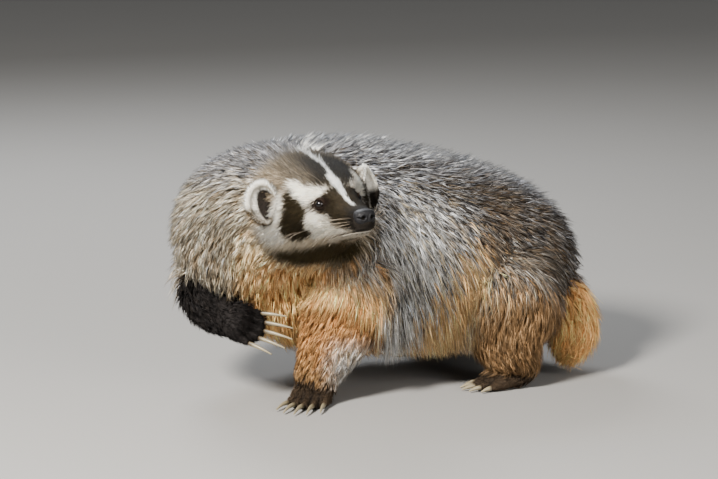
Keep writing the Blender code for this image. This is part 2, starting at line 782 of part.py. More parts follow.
def sweep(name, places, size, depth=0.0, offset=0.0):
    """A flat bar along the mouth line, sunk by depth and moved up by offset, which narrows to both its ends."""
    up = head_matrix().to_3x3() @ Vector((0, 0, 1))
    rings = []
    for i, (place, out) in enumerate(places):
        along = (places[min(i + 1, len(places) - 1)][0] - places[max(i - 1, 0)][0]).normalized()
        fade = LIP_END if i in (0, len(places) - 1) else 1.0
        rings.append((place - out * depth + up * (offset * fade), along, up, size[0] * fade, size[1] * fade))
    return ring_solid(name, rings, sides=6)


def ear(name, sign):
    """The cup of one ear, open forwards and outwards."""
    place = Matrix.Translation(Vector((EAR.x, sign * EAR.y, EAR.z)))
    turn = Matrix.Rotation(sign * EAR_TURN, 4, "Z") @ Matrix.Rotation(-EAR_LEAN, 4, "Y")
    matrix = head_matrix() @ place @ turn
    cup = ball(name, Vector(), EAR_SIZE, ROUND, matrix)
    size = Vector((EAR_HOLLOW_DEPTH * EAR_SIZE.x, EAR_SIZE.y - EAR_WALL, EAR_SIZE.z - EAR_WALL))
    hollow = ball("hollow", Vector((EAR_HOLLOW_PLACE * EAR_SIZE.x, 0, 0)), size, ROUND, matrix)
    return boolean(cup, [hollow], "DIFFERENCE")


def add_face(head):
    """Gives the head its lips, lids and sockets, and makes the nose, eyes and ears."""
    matrix = head_matrix()
    places = mouth_line(head)
    upper = sweep("lip", places, LIP_SIZE, LIP_SIZE[0] / 2, LIP_OFFSET)
    lower = sweep("lip", places, LIP_SIZE, LIP_SIZE[0] / 2 + LOWER_LIP_IN, -LIP_OFFSET)
    boolean(head, [upper, lower], "UNION")
    boolean(head, [sweep("groove", places, MOUTH_GROOVE)], "DIFFERENCE")
    nose = in_head(Tube(NOSE_PAD, squareness=NOSE_SQUARENESS).solid("nose", step=1.0, sides=14))
    boolean(head, [grown(nose)], "DIFFERENCE")
    for _, sign, place in both_sides(NOSTRIL):
        turn = Matrix.Translation(place) @ Matrix.Rotation(sign * NOSTRIL_TURN, 4, "Z")
        boolean(nose, [ball("nostril", Vector(), NOSTRIL_SIZE, FINE_ROUND, matrix @ turn)], "DIFFERENCE")
    for side, sign, place in both_sides(EYE):
        add_eye(head, side, sign, matrix @ place)
    solid_head = grown(head)
    for side, sign in (("left", 1), ("right", -1)):
        cup = ear(f"ear_{side}", sign)
        boolean(cup, [copy_of(solid_head, "cut")], "DIFFERENCE")
        largest_part(cup)
    remove(solid_head)


def add_eye(head, side, sign, centre):
    """Makes an eye, with lids on the head round its opening."""
    turned = head_matrix().to_3x3()
    out = (turned @ Vector((EYE_FACES.x, sign * EYE_FACES.y, EYE_FACES.z))).normalized()
    ahead = turned @ EYE_AHEAD
    ahead = (ahead - out * ahead.dot(out)).normalized()
    turn = Matrix.Translation(centre) @ Matrix((ahead, out.cross(ahead), out)).transposed().to_4x4()
    every_way = Vector((1, 1, 1))
    boolean(head, [ball("lid", centre, every_way * (EYE_RADIUS + GAP + LID_THICKNESS), ROUND)], "UNION")
    boolean(head, [ball("socket", centre, every_way * (EYE_RADIUS + GAP), ROUND)], "DIFFERENCE")
    place = Vector((0, 0, EYE_RADIUS * LID_OPENING_OUT))
    size = Vector((*LID_OPENING, EYE_RADIUS))
    boolean(head, [ball("opening", place, size, SMALL_ROUND, turn)], "DIFFERENCE")
    ball(f"eye_{side}", centre, every_way * EYE_RADIUS, ROUND)


def coloured(obj, finish):
    """Gives an object its colour, and smooth shading."""
    colour, roughness = COLOURS[finish]
    material = bpy.data.materials.new(obj.name)
    material.use_nodes = True
    shader = material.node_tree.nodes["Principled BSDF"]
    shader.inputs["Base Color"].default_value = (*colour, 1.0)
    shader.inputs["Roughness"].default_value = roughness
    obj.data.materials.clear()
    obj.data.materials.append(material)
    obj.data.shade_smooth()
    obj.data.set_sharp_from_angle(angle=SMOOTH_BELOW)


def finish_for(name):
    """The finish of the node with this name."""
    if "claw" in name:
        return "claw"
    for word in ("nose", "eye", "ear", "tail", "head"):
        if name.startswith(word):
            return {"tail": "tawny", "head": "face"}.get(word, word)
    return {"foreleg_left": "tawny", "foreleg_right": "dark_leg"}.get(name, "tawny" if "leg" in name else "grizzled")


def settle_on_floor():
    """Moves the whole animal so that the origin is under the middle of its bounding box."""
    points = np.array([v.co for obj in bpy.data.objects for v in obj.data.vertices])
    low, high = points.min(axis=0), points.max(axis=0)
    shift = Matrix.Translation((-(low[0] + high[0]) / 2, -(low[1] + high[1]) / 2, 0.0))
    for obj in bpy.data.objects:
        obj.data.transform(shift)


def main():
    """Builds the animal."""
    random.seed(SEED)
    clear_scene()
    body = body_core()
    core = copy_of(body, "form")
    nodes = parted(body)
    add_locks(nodes, core)
    remove(core)
    add_face(nodes["head"])
    for foot in FEET:
        leg = foot.name.replace("fore", "foreleg").replace("hind", "hindleg")
        add_foot(nodes[leg], foot)
    for name, other in CLOSE:
        boolean(nodes[name], [grown(nodes[other], CLEARED * GAP)], "DIFFERENCE")
        largest_part(nodes[name])
    for obj in bpy.data.objects:
        coloured(obj, finish_for(obj.name))
    settle_on_floor()


main()
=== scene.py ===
"""The looks of a life-size still model of an American badger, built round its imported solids.

Metres, +Z up. The shapes are built where the solids' source has them, and are then moved by one shift, which the
packed eyes give. Left and right are the animal's own. Its left side faces the camera, which looks along +Y.
"""

import logging
import math
from dataclasses import dataclass
from enum import IntEnum

import bmesh
import bpy
import numpy as np
from mathutils import Matrix, Vector
from mathutils.bvhtree import BVHTree


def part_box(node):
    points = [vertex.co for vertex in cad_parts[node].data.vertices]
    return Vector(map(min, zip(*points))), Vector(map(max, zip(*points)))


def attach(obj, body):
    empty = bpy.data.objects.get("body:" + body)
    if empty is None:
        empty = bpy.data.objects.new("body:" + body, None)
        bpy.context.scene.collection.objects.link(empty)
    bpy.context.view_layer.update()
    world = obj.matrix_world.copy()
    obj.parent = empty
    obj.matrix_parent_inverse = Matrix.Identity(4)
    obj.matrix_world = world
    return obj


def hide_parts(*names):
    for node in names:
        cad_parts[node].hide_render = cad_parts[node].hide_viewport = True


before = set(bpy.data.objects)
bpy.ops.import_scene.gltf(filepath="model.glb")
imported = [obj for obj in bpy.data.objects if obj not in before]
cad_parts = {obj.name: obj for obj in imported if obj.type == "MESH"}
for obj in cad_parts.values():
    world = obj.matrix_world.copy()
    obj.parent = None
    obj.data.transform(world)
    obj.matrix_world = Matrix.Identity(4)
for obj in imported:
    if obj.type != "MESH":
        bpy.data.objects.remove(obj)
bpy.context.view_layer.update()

log = logging.getLogger("badger")
BODY = "root"
PROBE = 0.05
FLOOR = 0.0004
BAKE_MAP = "OFBake"
BAKE_PATCH = 0.003
SEED = 11

# The head's place: where its nose tip is, and how it is turned from looking along -Y.
NOSE_TIP = Vector((0.0075, -0.235, 0.238))
HEAD_YAW = math.radians(31.0)
HEAD_PITCH = math.radians(10.0)
HEAD_ROLL = math.radians(3.0)
EYE = Vector((-0.0545, 0.0228, 0.0140))
EYE_RADIUS = 0.0056
EYE_FACES = Vector((0.58, 0.79, 0.18))
EYE_AHEAD = Vector((1.0, 0.0, -0.25))
EAR = Vector((-0.100, 0.0660, 0.0225))
EAR_SIZE = Vector((0.0150, 0.0185, 0.0250))
EAR_TURN = math.radians(42.0)
EAR_LEAN = math.radians(12.0)
EAR_WALL = 0.0046
EAR_INNER = 0.94 * np.array(EAR_SIZE)
# The lids' ring from the edge over the fold and round to the lining: how far out in radians, and its rise in metres.
LID_PROFILE = (
    (0.00, 0.0002), (-0.01, 0.0005), (0.02, 0.0011), (0.09, 0.0014), (0.18, 0.0013), (0.27, 0.0009),
    (0.36, 0.0012), (0.50, 0.0016), (0.70, 0.0014), (0.95, 0.0004), (1.15, -0.0010), (1.00, -0.0022),
    (0.50, -0.0006), (0.20, 0.0001),
)
MOUTH_CORNER = -0.054
MOUTH_HEIGHTS = (-0.0185, -0.0235)


def smooth_step(low: float, high: float, value: np.ndarray) -> np.ndarray:
    """A smooth rise from 0 at low to 1 at high."""
    share = np.clip((value - low) / (high - low), 0.0, 1.0)
    return share * share * (3.0 - 2.0 * share)


def bell(value: np.ndarray, centre: float, size: float) -> np.ndarray:
    """A soft hump of height 1 at the centre."""
    return np.exp(-(((value - centre) / size) ** 2))


def unit(ways: np.ndarray) -> np.ndarray:
    """The ways, each made 1 long."""
    return ways / np.maximum(np.linalg.norm(ways, axis=-1, keepdims=True), 1e-12)


def flattened(ways: np.ndarray, normals: np.ndarray) -> np.ndarray:
    """The ways laid flat on the faces with those normals."""
    return unit(ways - normals * (ways * normals).sum(axis=1, keepdims=True))


def facings(vertices: np.ndarray, triangles: np.ndarray) -> tuple:
    """The area of each triangle, and the way that it faces."""
    corners = vertices[triangles]
    cross = np.cross(corners[:, 1] - corners[:, 0], corners[:, 2] - corners[:, 0])
    return np.linalg.norm(cross, axis=1) / 2, unit(cross)


def spread_picks(weights: np.ndarray, count: int, chance: np.random.Generator) -> np.ndarray:
    """So many picks of rows, by chance but spread evenly over the rows' weights."""
    total = np.cumsum(weights)
    draws = (np.arange(count) + chance.random(count)) / count * total[-1]
    return np.minimum(np.searchsorted(total, draws), len(weights) - 1)


def shade(*colour: float) -> np.ndarray:
    """A colour in linear light, from values of 0 to 255 as a screen shows them."""
    share = np.array(colour, float) / 255.0
    return np.where(share <= 0.04045, share / 12.92, ((share + 0.055) / 1.055) ** 2.4)


def above_mouth(head: np.ndarray) -> np.ndarray:
    """How far places in the head's frame lie above the line of the mouth."""
    turn = np.arctan2(head[:, 1], np.maximum(head[:, 0] - MOUTH_CORNER, 1e-6))
    front, corner = MOUTH_HEIGHTS
    return head[:, 2] - (front + (corner - front) * np.sin(turn) ** 2)


def head_matrix() -> Matrix:
    """The head's frame: X forwards, Y to its left, Z up, with its origin at the nose tip."""
    turned = Matrix.Rotation(HEAD_YAW - math.pi / 2, 4, "Z")
    tipped = Matrix.Rotation(-HEAD_PITCH, 4, "Y")
    rolled = Matrix.Rotation(HEAD_ROLL, 4, "X")
    return Matrix.Translation(NOSE_TIP) @ turned @ tipped @ rolled


def ear_matrix(sign: int) -> Matrix:
    """An ear's frame: X the way it opens, Z up along it."""
    place = Matrix.Translation(Vector((EAR.x, sign * EAR.y, EAR.z)))
    turn = Matrix.Rotation(sign * EAR_TURN, 4, "Z") @ Matrix.Rotation(-EAR_LEAN, 4, "Y")
    return head_matrix() @ place @ turn


def eye_matrix(sign: int) -> Matrix:
    """An eye's frame: X ahead, Z out of the head."""
    turned = head_matrix().to_3x3()
    out = (turned @ Vector((EYE_FACES.x, sign * EYE_FACES.y, EYE_FACES.z))).normalized()
    ahead = turned @ EYE_AHEAD
    ahead = (ahead - out * ahead.dot(out)).normalized()
    centre = head_matrix() @ Vector((EYE.x, sign * EYE.y, EYE.z))
    return Matrix.Translation(centre) @ Matrix((ahead, out.cross(ahead), out)).transposed().to_4x4()


def moved(matrix: Matrix, points: np.ndarray) -> np.ndarray:
    """The points carried by a matrix."""
    m = np.array(matrix)
    return points @ m[:3, :3].T + m[:3, 3]


def turns(sides: int) -> np.ndarray:
    """The angles of a ring's points."""
    return np.arange(sides) * 2 * math.pi / sides


def ring_quads(rings: int, sides: int, loops: bool = False) -> np.ndarray:
    """The faces between rings of points that follow each other, and from the last ring to the first if it loops."""
    ring, k = np.divmod(np.arange((rings if loops else rings - 1) * sides), sides)
    a, b, following = ring * sides, ring * sides + (k + 1) % sides, (ring + 1) % rings * sides
    return np.stack([a + k, b, following + (k + 1) % sides, following + k], axis=1)


def capped_rings(rings: int, sides: int) -> list:
    """The faces of a closed form of rings with flat ends."""
    last = (rings - 1) * sides
    ends = [tuple(range(sides))[::-1], tuple(range(last, last + sides))]
    return ends + ring_quads(rings, sides).tolist()


def closed_rings(rings: int, sides: int, flipped: bool = False) -> np.ndarray:
    """The triangles of a closed form of rings, whose two end points follow the rings' own points."""
    k, last = np.arange(sides), (rings - 1) * sides
    after, first = (k + 1) % sides, np.full(sides, rings * sides)
    fans = np.stack([first, k, after, first + 1, last + after, last + k], axis=1)
    if flipped:
        fans = fans[:, (0, 2, 1, 3, 5, 4)]
    quads = ring_quads(rings, sides)[:, (0, 1, 2, 0, 2, 3) if flipped else (0, 3, 1, 1, 3, 2)]
    return np.concatenate([quads.reshape(-1, 3), fans.reshape(-1, 3)])


@dataclass(frozen=True)
class Section:
    """One oval section of a body part: its centre, its half sizes, and how deep the coat stands on it."""

    centre: tuple
    wide: float
    high: float
    depth: float


class Tube:
    """A round body part strung on a smooth curve through its sections."""

    def __init__(self, sections: tuple, up: tuple = (0, 0, 1), squareness: float = 2.2, sag: float = 0.0,
                 matrix: Matrix | None = None) -> None:
        """Keeps the sections.

        Args:
            sections: the Section of each place on the curve.
            up: a way that the top of every section faces as nearly as it can.
            squareness: 2 for an oval, more for a squarer section.
            sag: how much narrower the top is than the bottom.
            matrix: the frame that the sections are given in.
        """
        self.rows = np.array([(*s.centre, s.wide, s.high, s.depth) for s in sections], float)
        self.up = np.array(up, float)
        self.squareness = squareness
        self.sag = sag
        self.matrix = np.array(matrix if matrix is not None else Matrix.Identity(4))
        self.last = len(sections) - 1

    def row(self, t: np.ndarray) -> np.ndarray:
        """The sections' values at each t, on smooth curves."""
        last, rows = self.last, self.rows
        i = np.clip(np.floor(t).astype(int), 0, last - 1)
        u = (t - i)[:, None]
        before = np.where((i > 0)[:, None], rows[np.maximum(i - 1, 0)], 2 * rows[0] - rows[1])
        after = np.where((i + 2 <= last)[:, None], rows[np.minimum(i + 2, last)], 2 * rows[last] - rows[last - 1])
        a, b = rows[i], rows[i + 1]
        bend = (2 * before - 5 * a + 4 * b - after) * u**2 + (3 * a - before - 3 * b + after) * u**3
        return 0.5 * (2 * a + (b - before) * u + bend)

    def frames(self, t: np.ndarray) -> tuple:
        """Centre, along, left, up, half width, half height and coat depth at each t."""
        row = self.row(t)
        along = unit(self.row(t + PROBE)[:, :3] - self.row(t - PROBE)[:, :3])
        left = unit(np.cross(self.up, along))
        up = np.cross(along, left)
        turn = self.matrix[:3, :3].T
        centre = row[:, :3] @ turn + self.matrix[:3, 3]
        return centre, along @ turn, left @ turn, up @ turn, row[:, 3], row[:, 4], row[:, 5]

    def points(self, t: np.ndarray, angle: np.ndarray, out: float = 0.0) -> np.ndarray:
        """Points of the skin under the coat, or this far out of it. The angle is from the top to the left."""
        centre, _, left, up, wide, high, depth = self.frames(t)
        power = 2.0 / self.squareness
        c, s = np.cos(angle), np.sin(angle)
        c = np.copysign(np.abs(c) ** power, c)
        s = np.copysign(np.abs(s) ** power, s)
        across = (wide - depth + out) * (1 - self.sag * c)
        return centre + left * (across * s)[:, None] + up * ((high - depth + out) * c)[:, None]

    def solid(self, step: float = 0.25, sides: int = 32) -> tuple:
        """The vertices and faces of the closed solid."""
        count = int(round(self.last / step)) + 1
        t = np.repeat(np.linspace(0, self.last, count), sides)
        return self.points(t, np.tile(turns(sides), count)), capped_rings(count, sides)

    def places(self, points: np.ndarray, fine: int = 12) -> tuple:
        """Where points lie on the tube.

        Args:
            points: places in space.
            fine: how many places of the curve are tried for each section.

        Returns:
            t, the angle, the way along, the coat's depth, and the distance from the middle in shares of the size.
        """
        tries = np.linspace(0, self.last, self.last * fine + 1)
        centre, along, left, up, wide, high, depth = self.frames(tries)
        best = np.zeros(len(points), int)
        values = np.zeros((len(points), 3))
        for start in range(0, len(points), 6000):
            part = slice(start, start + 6000)
            away = points[part, None] - centre[None]
            a = np.einsum("nti,ti->nt", away, left) / wide
            b = np.einsum("nti,ti->nt", away, up) / high
            ahead = np.einsum("nti,ti->nt", away, along) / (0.5 * (wide + high))
            score = a * a + b * b + ahead * ahead * 3.0
            pick = score.argmin(axis=1)
            rows = np.arange(len(pick))
            best[part] = pick
            values[part, 0], values[part, 1] = a[rows, pick], b[rows, pick]
            values[part, 2] = np.sqrt(a[rows, pick] ** 2 + b[rows, pick] ** 2 + 4.8 * ahead[rows, pick] ** 2)
        angle = np.arctan2(values[:, 0], values[:, 1])
        return tries[best], angle, along[best], depth[best], values[:, 2]


# From the rump to the back of the skull.
SPINE = (
    Section((0.232, 0.118, 0.108), 0.036, 0.036, 0.015),
    Section((0.200, 0.110, 0.117), 0.088, 0.078, 0.022),
    Section((0.145, 0.092, 0.131), 0.124, 0.106, 0.022),
    Section((0.070, 0.068, 0.1435), 0.134, 0.1195, 0.022),
    Section((-0.010, 0.042, 0.1575), 0.130, 0.1245, 0.022),
    Section((-0.085, 0.000, 0.172), 0.122, 0.121, 0.022),
    Section((-0.108, -0.048, 0.193), 0.104, 0.096, 0.018),
    Section((-0.092, -0.088, 0.212), 0.087, 0.079, 0.013),
    Section((-0.064, -0.122, 0.222), 0.070, 0.064, 0.008),
)
SPINE_SAG = 0.06

# The head's sections: distance behind the nose tip, half width, top, bottom and coat depth.
HEAD_SECTIONS = (
    (0.000, 0.0085, 0.0030, -0.0130, 0.0006),
    (0.006, 0.0135, 0.0055, -0.0190, 0.0008),
    (0.015, 0.0180, 0.0075, -0.0245, 0.0010),
    (0.028, 0.0230, 0.0110, -0.0275, 0.0012),
    (0.042, 0.0275, 0.0200, -0.0300, 0.0014),
    (0.058, 0.0350, 0.0325, -0.0330, 0.0018),
    (0.075, 0.0485, 0.0465, -0.0375, 0.0030),
    (0.092, 0.0600, 0.0570, -0.0435, 0.0042),
    (0.115, 0.0690, 0.0660, -0.0500, 0.0054),
    (0.140, 0.0700, 0.0710, -0.0540, 0.0066),
    (0.165, 0.0620, 0.0690, -0.0520, 0.0080),
)
LIMB_DEPTHS = (0.014, 0.010, 0.007, 0.005, 0.003)
TAIL_DEPTHS = (0.012, 0.014, 0.014, 0.010, 0.005)
FORELEG_LEFT = (
    ((-0.004, -0.045, 0.140), 0.056, 0.058),
    ((-0.014, -0.068, 0.100), 0.047, 0.050),
    ((-0.032, -0.082, 0.062), 0.036, 0.037),
    ((-0.045, -0.089, 0.034), 0.027, 0.027),
    ((-0.050, -0.092, 0.018), 0.025, 0.022),
)
FORELEG_RIGHT = (
    ((-0.140, 0.020, 0.150), 0.056, 0.058),
    ((-0.163, -0.018, 0.122), 0.045, 0.045),
    ((-0.162, -0.052, 0.106), 0.034, 0.034),
    ((-0.148, -0.080, 0.097), 0.025, 0.025),
    ((-0.138, -0.092, 0.092), 0.023, 0.019),
)
HINDLEG_LEFT = (
    ((0.158, 0.035, 0.125), 0.060, 0.064),
    ((0.172, 0.002, 0.088), 0.054, 0.056),
    ((0.170, -0.012, 0.052), 0.041, 0.042),
    ((0.180, -0.010, 0.026), 0.027, 0.027),
    ((0.176, -0.014, 0.018), 0.022, 0.020),
)
HINDLEG_RIGHT = (
    ((0.108, 0.155, 0.120), 0.058, 0.062),
    ((0.094, 0.182, 0.084), 0.050, 0.054),
    ((0.080, 0.188, 0.050), 0.039, 0.041),
    ((0.084, 0.190, 0.026), 0.027, 0.027),
    ((0.080, 0.188, 0.018), 0.022, 0.020),
)
TAIL = (
    ((0.205, 0.104, 0.112), 0.030, 0.030),
    ((0.235, 0.092, 0.090), 0.030, 0.031),
    ((0.247, 0.072, 0.060), 0.029, 0.030),
    ((0.245, 0.052, 0.036), 0.020, 0.021),
    ((0.240, 0.042, 0.027), 0.009, 0.010),
)
SHOULDER = (Vector((-0.143, 0.022, 0.158)), Vector((0.062, 0.070, 0.080)), 0.020)
THROAT = (Vector((-0.036, -0.078, 0.182)), Vector((0.056, 0.052, 0.050)), 0.009)


@dataclass(frozen=True)
class Foot:
    """One foot: its ankle, the way it points and its back faces, its size, its claws' length and how far they bend."""

    name: str
    ankle: tuple
    points: tuple
    back: tuple
    length: float
    width: float
    claw: float
    bend: float
    planted: bool = True

    def axes(self) -> tuple:
        """The ways forwards, to the side and out of the foot's back."""
        forward = Vector(self.points).normalized()
        side = Vector(self.back).cross(forward).normalized()
        return forward, side, forward.cross(side)

    def toes(self) -> list:
        """Each toe's root and tip, the way along it, and its claw's start, way down and length."""
        forward, side, back = self.axes()
        ankle, toes = Vector(self.ankle), []
        for number in range(TOES):
            across = 2 * number / (TOES - 1) - 1
            way = (forward + side * (TOE_SPREAD * across)).normalized()
            root = ankle + forward * (TOE_ROOT[0] * self.length - OUTER_TOE_BACK * across**2)
            root += side * (TOE_ROOT[1] * self.width * across)
            tip = root + way * (TOE_LENGTH * (1 - OUTER_TOE_SHORTER * across**2))
            claw = self.claw * (1 - OUTER_CLAW_SHORTER * across**2)
            rise = self.bend / 2
            if self.planted:
                rise -= (TOE_TIP_RADIUS - CLAW_TIP_HEIGHT) / claw
            start = (way * math.cos(rise) + back * math.sin(rise)).normalized()
            toes.append((root + back * TOE_RADIUS, tip + back * TOE_TIP_RADIUS, way, start, back, claw))
        return toes


FEET = (
    Foot("fore_left", (-0.050, -0.092, 0.0), (-0.30, -0.95, 0.0), (0, 0, 1), 0.046, 0.050, 0.033, 0.60),
    Foot("fore_right", (-0.138, -0.092, 0.090), (0.93, -0.30, -0.22), (-0.20, -0.60, 0.45),
         0.042, 0.044, 0.035, 0.45, planted=False),
    Foot("hind_left", (0.174, -0.008, 0.0), (-0.90, -0.43, 0.0), (0, 0, 1), 0.070, 0.044, 0.017, 0.50),
    Foot("hind_right", (0.080, 0.190, 0.0), (-0.95, -0.31, 0.0), (0, 0, 1), 0.070, 0.044, 0.017, 0.50),
)
TOES = 5
TOE_RADIUS = 0.0072
TOE_TIP_RADIUS = 0.0052
TOE_LENGTH = 0.021
TOE_SPREAD = 0.17
TOE_ROOT = (0.38, 0.36)
OUTER_TOE_BACK = 0.006
OUTER_TOE_SHORTER = 0.22
OUTER_CLAW_SHORTER = 0.14
PALM_HEIGHT = 0.0125
PALM_PLACE = (0.12, 0.85)
PALM_SIZE = (0.42, 0.5)
CLAW_RADIUS = 0.0034
CLAW_TIP_RADIUS = 0.0007
CLAW_TIP_HEIGHT = 0.0020
CLAW_NARROW = 0.75
CLAW_TAPER = 0.8
FOOT_DEPTH = 0.0022


def toe_gaps(foot: Foot, points: np.ndarray, half: float = 0.0018) -> tuple:
    """How near places on a foot's back are to the gaps between its toes, from 0 to 1, and the way out of it."""
    forward, side, back = (np.array(way) for way in foot.axes())
    roots = np.array([toe[0] for toe in foot.toes()])
    tips = np.array([toe[1] for toe in foot.toes()])
    away = points - roots[2]
    ahead, across, high = away @ forward, away @ side, away @ back
    share = np.clip(ahead / TOE_LENGTH, -0.5, 1.3)
    middles = (roots - roots[2]) @ side + ((tips - roots) @ side) * share[:, None]
    nearest = np.abs(across[:, None] - (middles[:, 1:] + middles[:, :-1]) / 2).min(axis=1)
    on_back = (high > -0.008) & (high < 0.02) & (share < 1.2)
    return bell(nearest, 0, half) * smooth_step(-0.35, 0.25, share) * on_back, back


class Region(IntEnum):
    """The parts of the body that each have their own lie of the coat."""

    TRUNK = 0
    HEAD = 1
    FORELEG_LEFT = 2
    FORELEG_RIGHT = 3
    HINDLEG_LEFT = 4
    HINDLEG_RIGHT = 5
    TAIL = 6
    FORE_LEFT = 7
    FORE_RIGHT = 8
    HIND_LEFT = 9
    HIND_RIGHT = 10


HINDLEGS = (Region.HINDLEG_LEFT, Region.HINDLEG_RIGHT)
LEGS = (Region.FORELEG_LEFT, Region.FORELEG_RIGHT, *HINDLEGS)
FOOT_REGIONS = (Region.FORE_LEFT, Region.FORE_RIGHT, Region.HIND_LEFT, Region.HIND_RIGHT)
# The coat's length: on the head by the mm behind the nose tip, on the legs by the place along them.
HEAD_LENGTHS = ((0, 20, 50, 80, 110, 140, 165), (0.0035, 0.0050, 0.0075, 0.0105, 0.0135, 0.0170, 0.0190))
FORELEG_LENGTHS = ((2, 3, 4), (0.022, 0.016, 0.009))
HINDLEG_LENGTHS = ((2, 3, 4), (0.026, 0.016, 0.009))
FOOT_LENGTH = 0.0060
TAIL_LENGTH = 0.044


def limb(rows: tuple, depths: tuple, up: tuple) -> Tube:
    """The tube of a leg or the tail."""
    return Tube(tuple(Section(*row, depth) for row, depth in zip(rows, depths)), up=up)


def foot_tube(foot: Foot) -> Tube:
    """A tube along a foot, from its ankle to its toes' tips."""
    forward, _, back = foot.axes()
    low = Vector(foot.ankle) + back * 0.010
    reach = TOE_ROOT[0] * foot.length + TOE_LENGTH
    sections = tuple(
        Section(tuple(low + forward * (reach * share)), foot.width / 2, 0.013, FOOT_DEPTH) for share in (0.1, 0.6, 1.1)
    )
    return Tube(sections, up=tuple(back))


@dataclass
class Fields:
    """What the body's form says of places on it, as arrays with one row for each place."""

    points: np.ndarray
    weights: np.ndarray
    t: np.ndarray
    angle: np.ndarray
    lie: np.ndarray
    length: np.ndarray
    depth: np.ndarray

    def at(self, corners: np.ndarray, shares: np.ndarray) -> "Fields":
        """The fields inside triangles, from their corners' numbers and the shares of the corners."""

        def mixed(values: np.ndarray) -> np.ndarray:
            """The corners' values in their shares."""
            parts = values[corners]
            return np.einsum("nk,nk...->n...", shares, parts)

        first = corners[:, 0]
        return Fields(mixed(self.points), mixed(self.weights), self.t[first], self.angle[first],
                      unit(mixed(self.lie)), mixed(self.length), mixed(self.depth))


